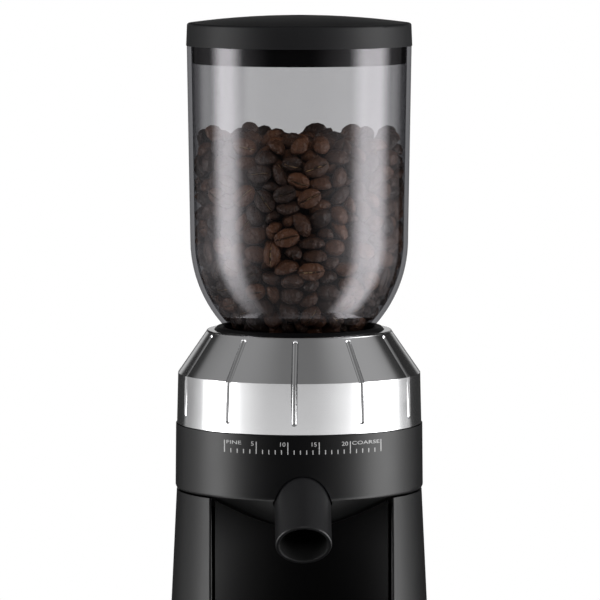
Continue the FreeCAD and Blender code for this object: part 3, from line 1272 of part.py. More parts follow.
def make_base():
    base = new_body("base_shell")
    pad(base, "base_height", [base_plan("0")], lift="foot_reach")
    round_edges(base, "base_round", level_edge("base_top"))
    pocket(base, "base_ceiling - foot_reach", [base_plan("base_wall")], lift="foot_reach", upward=True)
    side_x = "sqrt(base_hole^2 - base_hole_front^2)"
    pocket(base, "base_height + 2 * cut_over", lift="base_top + cut_over", outlines=[[
        (side_x, "-base_hole_front", "base_hole", 1),
        ("base_hole", "0", "base_hole", 1),
        ("0", "base_hole", "base_hole", 1),
        ("-base_hole", "0", "base_hole", 1),
        (f"-{side_x}", "-base_hole_front"),
    ]])
    pocket(base, "tray_depth", lift="base_top",
           outlines=[round_rectangle("tray_half", "tray_back", "tray_front", "tray_corner")])
    made = []
    for x, y in base_screw_places():
        made.append(primitive(base, "AdditiveCylinder", (x, y, "plate_upper + boss_gap"),
                              Radius="boss_radius", Height="base_ceiling - plate_upper + boss_gap"))
    mirror(base, made)
    made = []
    for x, y in base_screw_places():
        made.append(primitive(base, "SubtractiveCylinder", (x, y, "plate_upper"),
                              Radius="screw_radius + screw_gap / 2",
                              Height="base_ceiling - plate_upper + cut_over"))
    mirror(base, made)
    hold = "column_foot_radius - column_wall - column_flange / 2"
    bore = pocket(base, "base_height", circles=[(hold, "0", "screw_radius + screw_gap")],
                  lift="base_top + cut_over / 2")
    polar(base, [bore], "column_screw_count", angle=180)
    primitive(base, "SubtractiveCylinder", ("0", "base_radius + cut_past", "gland_z"), "90",
              Radius="gland_radius", Height="cut_past + base_radius - base_hole + 6 * cut_over")

    gland = new_body("cord_gland")
    neck = "base_radius - base_hole - gland_clear"
    primitive(gland, "AdditiveCylinder", ("0", "base_radius + gland_flange", "gland_z"), "90",
              Radius="gland_radius - press_fit", Height=f"{neck} + gland_flange")
    primitive(gland, "AdditiveCylinder", ("0", "base_radius + gland_flange", "gland_z"), "90",
              Radius="gland_radius + gland_rim", Height="gland_flange - press_fit")
    primitive(gland, "SubtractiveCylinder", ("0", "base_radius + gland_flange + cut_over", "gland_z"), "90",
              Radius="gland_bore", Height=f"{neck} + gland_flange + 4 * cut_over")

    plate = new_body("base_plate")
    pad(plate, "plate_thick", [base_plan("base_wall + plate_gap")], lift="foot_reach")
    made = []
    for y in ("-(board_front - board_post_inset)", "board_back - board_post_inset"):
        made.append(primitive(plate, "AdditiveCylinder", ("board_half - board_post_inset", y, "foot_reach"),
                              Radius="board_post", Height="plate_thick + board_lift"))
    mirror(plate, made)
    made = []
    for x, y in base_screw_places():
        made.append(primitive(plate, "SubtractiveCylinder", (x, y, "foot_reach - cut_over"),
                              Radius="screw_radius + screw_gap", Height="plate_thick + 2 * cut_over"))
    mirror(plate, made)

    screws = new_body("base_screws")
    made = []
    for x, y in base_screw_places():
        made.append(primitive(screws, "AdditiveCylinder", (x, y, "foot_reach"), Radius="screw_radius",
                              Height="base_ceiling - foot_reach"))
        made.append(primitive(screws, "AdditiveCylinder", (x, y, "foot_reach - screw_head_height"),
                              Radius="screw_head", Height="screw_head_height"))
    mirror(screws, made)

    feet = new_body("rubber_feet")
    made = []
    for y in ("-foot_front", "foot_back"):
        made.append(primitive(feet, "AdditiveCone", ("foot_x", y, "0"), Radius1="foot_radius - foot_taper",
                              Radius2="foot_radius", Height="foot_reach"))
    mirror(feet, made)

    tray = new_body("grounds_tray")
    back = "tray_back + tray_gap"
    front = "tray_front - tray_gap"
    pad(tray, "tray_depth + tray_lip", lift="tray_floor",
        outlines=[round_rectangle("tray_half - tray_gap", back, front, "tray_corner - tray_gap")])
    pocket(tray, "tray_depth + tray_lip - tray_wall", lift="tray_floor + tray_depth + tray_lip",
           outlines=[round_rectangle("tray_half - tray_gap - tray_wall", f"{back} + tray_wall",
                                     f"{front} - tray_wall", "tray_corner - tray_gap - tray_wall")])

    board = new_body("control_board")
    pad(board, "board_thick", lift="board_z",
        outlines=[rectangle("-board_half", "-board_front", "board_half", "board_back")])
    loads = new_body("board_parts")
    top = "board_z + board_thick"
    primitive(loads, "AdditiveCylinder", ("capacitor_x", "0", top), Radius="capacitor_radius",
              Height="part_height")
    primitive(loads, "AdditiveBox", ("relay_x", "relay_y", top), Length="relay_length", Width="relay_width",
              Height="part_height")
    primitive(loads, "AdditiveBox", ("terminal_x", "terminal_y", top), Length="terminal_length",
              Width="terminal_width", Height="part_height")


# Cradle, start button and switches

def make_front():
    cradle = new_body("portafilter_cradle")
    tip = "-(fork_reach - fork_arm / 2)"
    pad(cradle, "cradle_thick", lift="cradle_z", outlines=[[
        ("cradle_root", "-cradle_root_y", "recess_curve - seat_gap", 1),
        ("-cradle_root", "-cradle_root_y"),
        ("-fork_out", "-fork_shoulder"),
        ("-fork_out", tip, "fork_arm * 0.52", 1),
        ("-fork_gap", tip),
        ("-fork_gap", "-spout_reach", "fork_gap", -1),
        ("0", "-(spout_reach - fork_gap)", "fork_gap", -1),
        ("fork_gap", "-spout_reach"),
        ("fork_gap", tip, "fork_arm * 0.52", 1),
        ("fork_out", tip),
        ("fork_out", "-fork_shoulder"),
    ]])
    ends = [level_edge("cradle_z"), level_edge("cradle_z + cradle_thick")]
    root = size("cradle_root")
    back = -size("cradle_root_y")

    def free_edge(edge):
        box = edge.BoundBox
        at_root = box.YMin > back - 0.05 and box.XLength > root
        return any(test(edge) for test in ends) and not at_root
    round_edges(cradle, "cradle_round", free_edge)
    for side in ("", "-"):
        primitive(cradle, "SubtractiveCylinder",
                  (f"{side}cradle_screw_x", "-(cradle_screw_y - panel_wall)", "cradle_screw_z"), "90",
                  Radius="screw_radius + screw_gap / 2", Height="cradle_screw_length + panel_wall + cut_over")
    screws = new_body("cradle_screws")
    for side in ("", "-"):
        x = f"{side}cradle_screw_x"
        primitive(screws, "AdditiveCylinder", (x, "-cradle_screw_y", "cradle_screw_z"), "90",
                  Radius="screw_radius", Height="cradle_screw_length")
        primitive(screws, "AdditiveCylinder",
                  (x, "-(cradle_screw_y - screw_head_height)", "cradle_screw_z"), "90",
                  Radius="screw_head", Height="screw_head_height")

    button = new_body("start_button")
    primitive(button, "AdditiveCylinder", ("0", "-button_back", "button_z"), "90", Radius="button_radius",
              Height="panel_mid + button_reach - button_back")
    primitive(button, "AdditiveCylinder", ("0", "-button_back", "button_z"), "90",
              Radius="button_radius + button_rim", Height="button_flange")
    face = -size("panel_mid + button_reach")

    def front_rim(edge):
        return edge.BoundBox.YMax < face + 0.01
    round_edges(button, "button_round", front_rim)

    switch = new_body("start_switch")
    primitive(switch, "AdditiveBox", ("-switch_length / 2", "-switch_face", "button_z - switch_height / 2"),
              Length="switch_length", Width="switch_depth", Height="switch_height")
    primitive(switch, "AdditiveCylinder", ("0", "-switch_face", "button_z"), "90", Radius="plunger_radius",
              Height="plunger_reach")


def make_power_switch():
    where = {"x": "rocker_x", "z": "rocker_z", "turn": "-wall_tilt", "about": (0, 1, 0)}
    frame = new_body("switch_body", **where)
    primitive(frame, "AdditiveBox", ("0", "-rocker_frame_w / 2", "-rocker_frame_h / 2"),
              Length="rocker_frame_t", Width="rocker_frame_w", Height="rocker_frame_h")
    primitive(frame, "AdditiveBox",
              ("-rocker_body", "-(rocker_frame_w / 2 - rocker_shell)",
               "-(rocker_frame_h / 2 - rocker_shell)"),
              Length="rocker_body", Width="rocker_frame_w - 2 * rocker_shell",
              Height="rocker_frame_h - 2 * rocker_shell")
    open_w = "(rocker_frame_w - 2 * rocker_border)"
    open_h = "(rocker_frame_h - 2 * rocker_border)"
    primitive(frame, "SubtractiveBox", ("-rocker_room", f"-{open_w} / 2", f"-{open_h} / 2"),
              Length="rocker_room + 2 * rocker_frame_t", Width=open_w, Height=open_h)
    primitive(frame, "SubtractiveCylinder", ("-rocker_pivot", "rocker_frame_w / 2", "0"), "90",
              Radius="rocker_pin + shaft_fit", Height="rocker_frame_w")

    rocker = new_body("power_rocker", x="rocker_x - rocker_pivot * cos(wall_tilt)",
                      z="rocker_z - rocker_pivot * sin(wall_tilt)",
                      turn="rocker_tilt * 1 deg - wall_tilt", about=(0, 1, 0))
    reach = "(rocker_frame_h / 2 - rocker_border - rocker_end_gap)"
    rise = "(rocker_pivot + rocker_frame_t)"
    made = pad(rocker, f"{open_w} - 2 * rocker_gap", role="XZ_Plane", outlines=[[
        (f"{rise} - 1.2", "0"),
        (f"{rise} + 0.2", reach),
        ("0", f"{reach} - 0.4"),
        ("-6", "4"),
        ("-6", "-4"),
        ("0", f"-({reach} - 0.4)"),
        (f"{rise} + 0.2", f"-{reach}"),
    ]])
    made.Midplane = True
    primitive(rocker, "AdditiveCylinder", ("0", "rocker_pin_reach", "0"), "90", Radius="rocker_pin",
              Height="2 * rocker_pin_reach")


make_lid()
make_hopper()
make_collar()
make_carrier()
make_spindle()
make_gears()
make_gearbox()
make_motor()
make_chamber()
make_column()
make_base()
make_front()
make_power_switch()
doc.recompute()

for item in doc.Objects:
    if "Invalid" in item.State or "Error" in item.State:
        raise RuntimeError(f"{item.Label} did not rebuild: {item.State}")
os.makedirs("parts", exist_ok=True)
for piece in pieces:
    if piece.Shape.isNull() or not piece.Shape.isValid():
        raise RuntimeError(f"{piece.Label} has no sound solid")
    piece.Shape.exportStep(f"parts/{piece.Label}.step")
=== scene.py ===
import json
import math
import random

import bpy
from bpy.props import FloatProperty, FloatVectorProperty, IntProperty, PointerProperty
from bpy.types import Operator, Panel, PropertyGroup
from mathutils import Euler, Matrix, Quaternion, Vector


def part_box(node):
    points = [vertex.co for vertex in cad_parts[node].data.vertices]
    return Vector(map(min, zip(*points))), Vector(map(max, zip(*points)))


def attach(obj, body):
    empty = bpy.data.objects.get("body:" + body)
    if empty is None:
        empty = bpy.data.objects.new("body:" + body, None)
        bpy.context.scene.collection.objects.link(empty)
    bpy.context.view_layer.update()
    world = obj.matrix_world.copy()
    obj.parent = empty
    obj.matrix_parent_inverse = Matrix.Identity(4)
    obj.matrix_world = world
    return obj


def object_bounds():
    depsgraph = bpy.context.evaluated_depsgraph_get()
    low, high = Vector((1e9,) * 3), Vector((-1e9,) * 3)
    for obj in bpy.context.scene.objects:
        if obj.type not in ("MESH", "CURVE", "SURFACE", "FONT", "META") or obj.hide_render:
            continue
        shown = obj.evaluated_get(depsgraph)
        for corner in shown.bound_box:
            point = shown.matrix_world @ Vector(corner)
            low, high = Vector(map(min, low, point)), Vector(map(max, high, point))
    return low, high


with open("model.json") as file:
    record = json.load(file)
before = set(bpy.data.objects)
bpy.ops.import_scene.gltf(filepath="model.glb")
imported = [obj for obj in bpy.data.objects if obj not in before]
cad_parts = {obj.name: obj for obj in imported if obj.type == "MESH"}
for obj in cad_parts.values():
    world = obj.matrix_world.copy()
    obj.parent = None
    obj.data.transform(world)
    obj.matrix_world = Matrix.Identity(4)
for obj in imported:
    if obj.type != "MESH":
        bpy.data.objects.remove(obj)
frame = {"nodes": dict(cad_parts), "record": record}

bl_info = {
    "name": "Burr coffee grinder",
    "version": (1, 0, 0),
    "blender": (4, 5, 0),
    "location": "View3D > Sidebar > Grinder",
    "description": "Finishes, beans, printed scale and studio for a burr coffee grinder",
    "category": "Object",
}

CAD_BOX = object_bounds()
NODES = frame["nodes"]
DEGREE = math.pi / 180
OUTLET = next(m for m in frame["record"]["mounts"] if m["name"] == "grounds_outlet")
BURR_AXIS = (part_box("hopper")[0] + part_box("hopper")[1]) / 2


# Sizes and colours that a user would change

class CoffeeFill(PropertyGroup):
    """The beans in the hopper"""
    count: IntProperty(name="Beans", description="How many beans are poured in", default=1250, min=1)
    length: FloatProperty(name="Length", description="Length of a bean", default=0.0124, unit="LENGTH")
    width: FloatProperty(name="Width", description="Width of a bean", default=0.0096, unit="LENGTH")
    thickness: FloatProperty(name="Thickness", description="Flat side to round side", default=0.0068,
                             unit="LENGTH")
    spread: FloatProperty(name="Spread", description="How much beans differ in size", default=0.09,
                          subtype="FACTOR")
    seed: IntProperty(name="Seed", description="Start of the random draws", default=11)
    dark: FloatVectorProperty(name="Dark roast", description="Colour of the darkest beans", subtype="COLOR",
                              default=(0.023, 0.0140, 0.0110))
    light: FloatVectorProperty(name="Light roast", description="Colour of the lightest beans",
                               subtype="COLOR", default=(0.138, 0.056, 0.026))
    chaff: FloatVectorProperty(name="Chaff", description="Silver skin left in the crease",
                               subtype="COLOR", default=(0.50, 0.32, 0.16))


class GrindScale(PropertyGroup):
    """The scale that is printed on the housing"""
    steps: IntProperty(name="Steps", description="Steps between the end marks", default=25)
    pitch: FloatProperty(name="Pitch", description="Across from mark to mark", default=0.003079,
                         unit="LENGTH")
    start: FloatProperty(name="Start", description="First mark beside the burr axis", default=-0.03817,
                         unit="LENGTH")
    foot: FloatProperty(name="Foot", description="Foot of the marks above the ground", default=0.1711,
                        unit="LENGTH")
    tall: FloatProperty(name="Long mark", description="Height of every fifth mark", default=0.0060,
                        unit="LENGTH")
    short: FloatProperty(name="Short mark", description="Height of the other marks", default=0.0021,
                         unit="LENGTH")
    stroke: FloatProperty(name="Stroke", description="Width of a mark", default=0.00044, unit="LENGTH")
    letters: FloatProperty(name="Letters", description="Size of the letters", default=0.0025,
                           unit="LENGTH")
    spacing: FloatProperty(name="Extension", description="Width of the letters beside their height",
                           default=1.5)
    figures: FloatProperty(name="Figures", description="Size of the numbers", default=0.0029, unit="LENGTH")
    figure_spacing: FloatProperty(name="Figures' extension", description="Width of the numbers",
                                  default=1.15)
    film: FloatProperty(name="Film", description="Thickness of the ink", default=0.00004, unit="LENGTH")
    ink: FloatVectorProperty(name="Ink", description="Colour of the ink", subtype="COLOR",
                             default=(0.27, 0.27, 0.27))


class CasingColours(PropertyGroup):
    """Colours of the outside"""
    black: FloatVectorProperty(name="Black", description="Moulded casing", subtype="COLOR",
                               default=(0.0012, 0.0012, 0.0014))
    lid: FloatVectorProperty(name="Lid", description="Moulded lid", subtype="COLOR",
                             default=(0.0058, 0.0058, 0.0062))
    # The panel's black is darker than the casing's: painted shade for the front panel in the recess under
    # the housing
    panel: FloatVectorProperty(name="Panel", description="Moulded front panel", subtype="COLOR",
                               default=(0.0007, 0.0007, 0.0008))
    spout: FloatVectorProperty(name="Spout", description="Moulded spout", subtype="COLOR",
                               default=(0.0052, 0.0052, 0.0057))
    chrome: FloatVectorProperty(name="Chrome", description="Plated collar", subtype="COLOR",
                                default=(0.56, 0.56, 0.567))
    smoke: FloatVectorProperty(name="Smoke", description="What one face of the hopper lets through",
                               subtype="COLOR", default=(0.793, 0.793, 0.7975))
    rim: FloatVectorProperty(name="Rim", description="The same where the wall is seen edge on",
                             subtype="COLOR", default=(0.42, 0.42, 0.43))


class StudioSet(PropertyGroup):
    """Camera, light and floor"""
    azimuth: FloatProperty(name="Azimuth", description="Camera to the right of the front",
                           default=-1.7 * DEGREE, subtype="ANGLE")
    elevation: FloatProperty(name="Elevation", description="Camera above the horizon",
                             default=5.07 * DEGREE, subtype="ANGLE")
    distance: FloatProperty(name="Distance", description="Camera to its target", default=2.53,
                            unit="LENGTH")
    lens: FloatProperty(name="Lens", description="Focal length in millimetres", default=303.6)
    target: FloatVectorProperty(name="Target", description="Point in the middle of the picture",
                                default=(0.0004, BURR_AXIS.y, 0.2416), subtype="XYZ")
    left: FloatProperty(name="Left screen", description="Brightness of the left screen", default=9.0)
    left_wash: FloatProperty(name="Left wash", description="Brightness around the left screen", default=1.8)
    right: FloatProperty(name="Right screen", description="Brightness of the right screen", default=8.8)
    right_wash: FloatProperty(name="Right wash", description="Brightness around the right screen",
                              default=2.095)
    front: FloatProperty(name="Front", description="Brightness of the room ahead", default=0.04)
    ceiling: FloatProperty(name="Ceiling", description="Brightness of the ceiling", default=0.243)
    table: FloatProperty(name="Table", description="Brightness of the table below", default=0.22)
    rear: FloatProperty(name="Flags", description="Brightness of the dark flags behind", default=0.035)
    strips: FloatProperty(name="Rim strips", description="Brightness of the strips behind", default=0.6)
    key: FloatProperty(name="Key light", description="Power of the soft key light", default=19.0,
                       unit="POWER")
    collar_card: FloatProperty(name="Collar card", description="Power of the card that the collar mirrors",
                               default=20.4, unit="POWER")
    spout_card: FloatProperty(name="Spout card", description="Power of the card that the spout mirrors",
                              default=3.6, unit="POWER")
    chin_card: FloatProperty(name="Chin card", description="Power of the card under the housing",
                             default=0.052, unit="POWER")
    floor: FloatProperty(name="Floor", description="Radius of the pale floor", default=0.52, unit="LENGTH")


# Shader maths as expressions

class Value:
    """A node's output that takes part in Python arithmetic"""

    def __init__(self, graph, socket):
        self.graph = graph
        self.socket = socket

    def maths(self, operation, first, second=0.0):
        return self.graph.add("ShaderNodeMath", {"operation": operation}, {0: first, 1: second})

    def __add__(self, other):
        return self.maths("ADD", self, other)

    def __sub__(self, other):
        return self.maths("SUBTRACT", self, other)

    def __rsub__(self, other):
        return self.maths("SUBTRACT", other, self)

    def __mul__(self, other):
        return self.maths("MULTIPLY", self, other)

    def __pow__(self, other):
        return self.maths("POWER", self, other)

    def __abs__(self):
        return self.maths("ABSOLUTE", self)

    __radd__ = __add__
    __rmul__ = __mul__


class Graph:
    """A node tree that is written as expressions"""

    def __init__(self, tree):
        self.tree = tree
        tree.nodes.clear()

    def add(self, kind, settings=None, sockets=None, output=0):
        node = self.tree.nodes.new(kind)
        for name, value in (settings or {}).items():
            setattr(node, name, value)
        for name, value in (sockets or {}).items():
            if isinstance(value, Value):
                self.tree.links.new(value.socket, node.inputs[name])
            else:
                node.inputs[name].default_value = value
        return Value(self, node.outputs[output])

    def place(self):
        return self.add("ShaderNodeTexCoord", output="Object")

    def stretched(self, place, scale):
        return self.add("ShaderNodeMapping", None, {"Vector": place, "Scale": scale})

    def split(self, vector):
        return [self.add("ShaderNodeSeparateXYZ", None, {0: vector}, output=i) for i in range(3)]

    def noise(self, place, scale, detail):
        return self.add("ShaderNodeTexNoise", None, {"Vector": place, "Scale": scale, "Detail": detail})

    def cells(self, place, scale):
        return self.add("ShaderNodeTexVoronoi", None, {"Vector": place, "Scale": scale})

    def mix(self, factor, first, second):
        return self.add("ShaderNodeMix", {"data_type": "RGBA"}, {0: factor, 6: first, 7: second}, output=2)

    def step(self, value, low, high):
        limits = {"Value": value, "From Min": low, "From Max": high}
        return self.add("ShaderNodeMapRange", {"interpolation_type": "SMOOTHSTEP"}, limits)

    def bump(self, height, depth):
        return self.add("ShaderNodeBump", None, {"Height": height, "Distance": depth, "Strength": 1.0})

    def attribute(self, name):
        return self.add("ShaderNodeAttribute", {"attribute_name": name}, output="Fac")

    def facing(self):
        return self.add("ShaderNodeLayerWeight", None, {"Blend": 0.5}, output="Facing")

    def shades(self, pattern, colour, dark, light):
        return self.mix(pattern, opaque(colour, dark), opaque(colour, light))

    def output(self, kind, shader):
        node = self.tree.nodes.new(kind)
        self.tree.links.new(shader.socket, node.inputs["Surface"])


class Finish(Graph):
    """A material"""

    SOCKETS = {"colour": "Base Color", "roughness": "Roughness", "shine": "Specular IOR Level",
               "metal": "Metallic", "alpha": "Alpha", "normal": "Normal"}

    def __init__(self, name):
        self.material = bpy.data.materials.new(name)
        self.material.use_nodes = True
        super().__init__(self.material.node_tree)

    def show(self, shader):
        self.output("ShaderNodeOutputMaterial", shader)
        return self.material

    def surface(self, **finish):
        sockets = {self.SOCKETS[name]: value for name, value in finish.items()}
        return self.show(self.add("ShaderNodeBsdfPrincipled", None, sockets))


def opaque(colour, factor=1.0):
    return (colour[0] * factor, colour[1] * factor, colour[2] * factor, 1.0)


# Finishes, whose patterns are scaled in waves per metre and whose bumps are in metres

GRAIN = 1500.0
GRAIN_DEPTH = 0.00002
CLOUDS = 45.0


def moulded(name, colour, roughness, shine):
    """Moulded plastic with a fine spark-eroded grain and faint cloudy handling marks"""
    f = Finish(name)
    place = f.place()
    cloud = f.noise(place, CLOUDS, 3.0)
    pores = f.noise(place, GRAIN, 2.0)
    tone = f.shades(cloud, colour, 0.8, 1.2)
    return f.surface(colour=tone, roughness=roughness + (cloud - 0.5) * 0.08 + (pores - 0.5) * 0.06,
                     shine=shine, normal=f.bump(pores, GRAIN_DEPTH))


def stained(name, colour, mouth, roughness, shine):
    """Moulded plastic with painted shade in its bore: the bore is darkened and made rougher"""
    f = Finish(name)
    place = f.place()
    pores = f.noise(place, GRAIN, 2.0)
    away = f.add("ShaderNodeVectorMath", {"operation": "SUBTRACT"}, {0: place, 1: mouth["pos_m"]})
    across = f.add("ShaderNodeVectorMath", {"operation": "CROSS_PRODUCT"}, {0: away, 1: mouth["axis"]})
    radius = f.add("ShaderNodeVectorMath", {"operation": "LENGTH"}, {0: across}, output="Value")
    bore = mouth["dims"]["r_mm"] / 1000
    inside = f.step(radius, bore + 0.0006, bore + 0.0001)
    tone = f.shades(f.noise(place, CLOUDS, 3.0), colour, 0.8, 1.2)
    # Painted shade: inside the bore the colour falls to a fifth of the spout's black
    return f.surface(colour=f.mix(inside, tone, opaque(colour, 0.2)), shine=shine,
                     roughness=roughness + (pores - 0.5) * 0.06 + inside * 0.4,
                     normal=f.bump(pores, GRAIN_DEPTH))


def polished(name, colour, roughness, shine):
    """Glossy plastic with the slow waves of a moulded face"""
    f = Finish(name)
    place = f.place()
    wave = f.noise(place, 70.0, 2.0)
    haze = f.noise(place, 400.0, 3.0)
    return f.surface(colour=f.shades(haze, colour, 0.85, 1.15),
                     roughness=roughness + (haze - 0.5) * 0.05, shine=shine,
                     normal=f.bump(wave, 0.00003))


def plated(name, colour, roughness):
    """Plated metal, faintly uneven"""
    f = Finish(name)
    place = f.place()
    cloud = f.noise(place, 38.0, 3.0)
    polish = f.noise(f.stretched(place, (1.0, 1.0, 12.0)), 260.0, 2.0)
    tone = f.shades(cloud, colour, 0.96, 1.03)
    return f.surface(colour=tone, metal=1.0, roughness=roughness + (polish - 0.5) * 0.04,
                     normal=f.bump(polish, 0.0000015))


def turned_steel(name, colour, roughness):
    """Machined metal with fine tool marks round the burr axis"""
    f = Finish(name)
    place = f.place()
    marks = f.noise(f.stretched(place, (0.05, 0.05, 1.0)), 900.0, 2.0)
    stain = f.noise(place, 90.0, 3.0)
    tone = f.shades(stain, colour, 0.82, 1.1)
    return f.surface(colour=tone, metal=1.0, roughness=roughness + (marks - 0.5) * 0.16,
                     normal=f.bump(marks, 0.00001))


def brushed(name, colour, roughness):
    """Sheet metal brushed from side to side"""
    f = Finish(name)
    place = f.place()
    lines = f.noise(f.stretched(place, (0.02, 1.0, 1.0)), 2600.0, 2.0)
    stain = f.noise(place, 60.0, 3.0)
    tone = f.shades(stain, colour, 0.88, 1.08)
    return f.surface(colour=tone, metal=1.0, roughness=roughness + (lines - 0.5) * 0.2,
                     normal=f.bump(lines, 0.000008))


def cast(name, colour, roughness):
    """Die-cast metal with a pebbled skin"""
    f = Finish(name)
    place = f.place()
    skin = f.cells(place, 900.0)
    cloud = f.noise(place, 70.0, 4.0)
    tone = f.shades(cloud, colour, 0.75, 1.1)
    return f.surface(colour=tone, metal=1.0, roughness=roughness + (cloud - 0.5) * 0.15,
                     normal=f.bump(skin, 0.00006))


def rubber(name, colour):
    """Soft rubber, dusty in its pores"""
    f = Finish(name)
    place = f.place()
    pores = f.noise(place, 2200.0, 3.0)
    dust = f.noise(place, 120.0, 4.0)
    tone = f.mix(f.step(dust, 0.45, 0.8), opaque(colour), opaque(colour, 2.2))
    return f.surface(colour=tone, roughness=0.72 + (pores - 0.5) * 0.15, shine=0.3,
                     normal=f.bump(pores, 0.00004))


def circuit(name):
    """Solder mask over copper tracks"""
    f = Finish(name)
    place = f.place()
    tracks = f.step(f.cells(f.stretched(place, (1.0, 1.0, 0.0)), 320.0), 0.42, 0.46)
    tone = f.mix(tracks, (0.008, 0.085, 0.030, 1.0), (0.012, 0.16, 0.055, 1.0))
    return f.surface(colour=tone, roughness=0.35 + tracks * 0.1, normal=f.bump(tracks, 0.00003))


def smoked_wall(name, smoke, rim):
    """Clear smoked plastic: darker where the wall is seen edge on, and its first face mirrors the room"""
    f = Finish(name)
    facing = f.facing()
    clear = f.add("ShaderNodeBsdfTransparent", None, {"Color": opaque(smoke)})
    edge = f.add("ShaderNodeBsdfTransparent", None, {"Color": opaque(rim)})
    depth = f.step(facing, 0.10, 0.24) * 0.34 + f.step(facing, 0.50, 0.72) * 0.66
    body = f.add("ShaderNodeMixShader", None, {0: depth, 1: clear, 2: edge})
    gloss = f.add("ShaderNodeBsdfGlossy", None, {"Color": (0.985, 0.955, 1.0, 1.0), "Roughness": 0.06})
    passed = f.add("ShaderNodeLightPath", output="Transparent Depth")
    face_on = 0.041
    edge_on = 0.50
    mirror = (face_on + facing ** 5.0 * edge_on) * f.step(passed, 0.9, 0.1)
    return f.show(f.add("ShaderNodeMixShader", None, {0: mirror, 1: body, 2: gloss}))


def roasted(name, dark, light, chaff):
    """Roasted coffee: each bean has its own roast, wrinkled skin and a crease with a thread of chaff; the
    crease is darkened as painted shade
    """
    f = Finish(name)
    place = f.place()
    across, along, _ = f.split(f.add("ShaderNodeUVMap", {"uv_map": "bean"}))
    wander = (f.noise(place, 180.0, 1.0) - 0.5) * 0.07
    crease = abs(across - 0.5 + wander)
    ends = f.step(abs(along - 0.5), 0.44, 0.34)
    thread = f.step(crease, 0.024, 0.010) * ends * f.step(f.noise(place, 420.0, 2.0), 0.42, 0.56)
    crease_dent_and_shade = f.step(crease, 0.060, 0.015) * ends
    roast = f.attribute("roast")
    mottle = f.noise(place, 420.0, 4.0)
    folds = f.noise(f.stretched(place, (1.0, 1.0, 0.45)), 300.0, 2.0)
    skin = f.mix(roast * 0.75 + (mottle - 0.4) * 0.55, opaque(dark), opaque(light))
    # Painted shade: the crease is darkened towards three tenths of the darkest roast
    skin = f.mix(crease_dent_and_shade * 0.85, skin, opaque(dark, 0.30))
    skin = f.mix(thread * f.attribute("thread"), skin, opaque(chaff))
    height = mottle * 1.4 + folds * 2.0 - crease_dent_and_shade * 0.7
    return f.surface(colour=skin, roughness=0.46 + (mottle - 0.5) * 0.25, shine=0.42,
                     normal=f.bump(height, 0.0011))


def printed(name, colour):
    """Pad-printed ink, thin in places"""
    f = Finish(name)
    thin = f.noise(f.place(), 1600.0, 2.0)
    return f.surface(colour=f.shades(thin, colour, 0.78, 1.1), roughness=0.55)


def pale_floor(name, radius):
    """A pale matt floor that fades out at its rim"""
    f = Finish(name)
    place = f.place()
    x, y, _ = f.split(place)
    far = (x * x + y * y) ** 0.5
    tone = f.mix(f.noise(place, 24.0, 3.0), (0.80, 0.80, 0.80, 1.0), (0.84, 0.84, 0.84, 1.0))
    return f.surface(colour=tone, roughness=0.9, shine=0.1, alpha=f.step(far, radius, radius * 0.6))


# Tools for modelling

def dress(material, *names):
    """Gives CAD nodes their finish"""
    for name in names:
        mesh = NODES[name].data
        mesh.materials.clear()
        mesh.materials.append(material)


def alone(piece):
    """Makes a piece the only selected one, and the active one"""
    bpy.ops.object.select_all(action="DESELECT")
    piece.select_set(True)
    bpy.context.view_layer.objects.active = piece


def pick(piece, test):
    """Selects the points that pass a test, and opens the piece for editing"""
    alone(piece)
    for edge in piece.data.edges:
        edge.select = False
    for face in piece.data.polygons:
        face.select = False
    for point in piece.data.vertices:
        point.select = test(point.co)
    bpy.ops.object.mode_set(mode="EDIT")


def leave_edit():
    bpy.ops.object.mode_set(mode="OBJECT")


def settle(piece):
    """Puts a piece's place, turn and scale into its mesh"""
    alone(piece)
    bpy.ops.object.transform_apply(location=True, rotation=True, scale=True)


def join(pieces, name):
    """Joins pieces into one named mesh"""
    bpy.ops.object.select_all(action="DESELECT")
    for piece in pieces:
        piece.select_set(True)
    bpy.context.view_layer.objects.active = pieces[0]
    if len(pieces) > 1:
        bpy.ops.object.join()
    pieces[0].name = name
    return pieces[0]


# Pieces

class GRINDER_OT_casing(Operator):
    """Finish the moulded casing, lid, spout, buttons and rubber"""
    bl_idname = "grinder.casing"
    bl_label = "Casing"

    def execute(self, context):
        colours = context.scene.grinder_colours
        dress(moulded("moulded black", colours.black, roughness=0.40, shine=0.22), "upper_housing",
              "column_shell", "base_shell")
        dress(moulded("moulded core black", colours.black, roughness=0.50, shine=0.10), "collar_core")
        dress(moulded("moulded lid black", colours.lid, roughness=0.48, shine=0.115), "lid_cap")
        # Painted shade: the front panel takes the darker panel colour
        dress(moulded("panel black", colours.panel, roughness=0.42, shine=0.115), "front_panel")
        dress(stained("spout black", colours.spout, OUTLET, roughness=0.36, shine=0.23), "spout")
        dress(polished("glossy black", colours.black, roughness=0.14, shine=0.3), "lid_plug", "start_button",
              "power_rocker")
        dress(rubber("black rubber", (0.014, 0.014, 0.015)), "rubber_feet", "throat_seal", "cord_gland")
        return {"FINISHED"}


class GRINDER_OT_hopper(Operator):
    """Finish the smoked hopper"""
    bl_idname = "grinder.hopper"
    bl_label = "Hopper"

    def execute(self, context):
        colours = context.scene.grinder_colours
        dress(smoked_wall("smoked plastic", colours.smoke, colours.rim), "hopper")
        return {"FINISHED"}


class GRINDER_OT_metal(Operator):
    """Finish the chrome collar, the cradle, the tray and the plates"""
    bl_idname = "grinder.metal"
    bl_label = "Metalwork"

    def execute(self, context):
        colours = context.scene.grinder_colours
        dress(plated("chrome plate", colours.chrome, roughness=0.16), "collar_shell")
        dress(cast("satin nickel", (0.13, 0.13, 0.135), roughness=0.40), "portafilter_cradle")
        dress(brushed("brushed steel", (0.48, 0.48, 0.48), roughness=0.30), "grounds_tray")
        dress(brushed("zinc plate", (0.42, 0.43, 0.45), roughness=0.40), "base_plate")
        return {"FINISHED"}


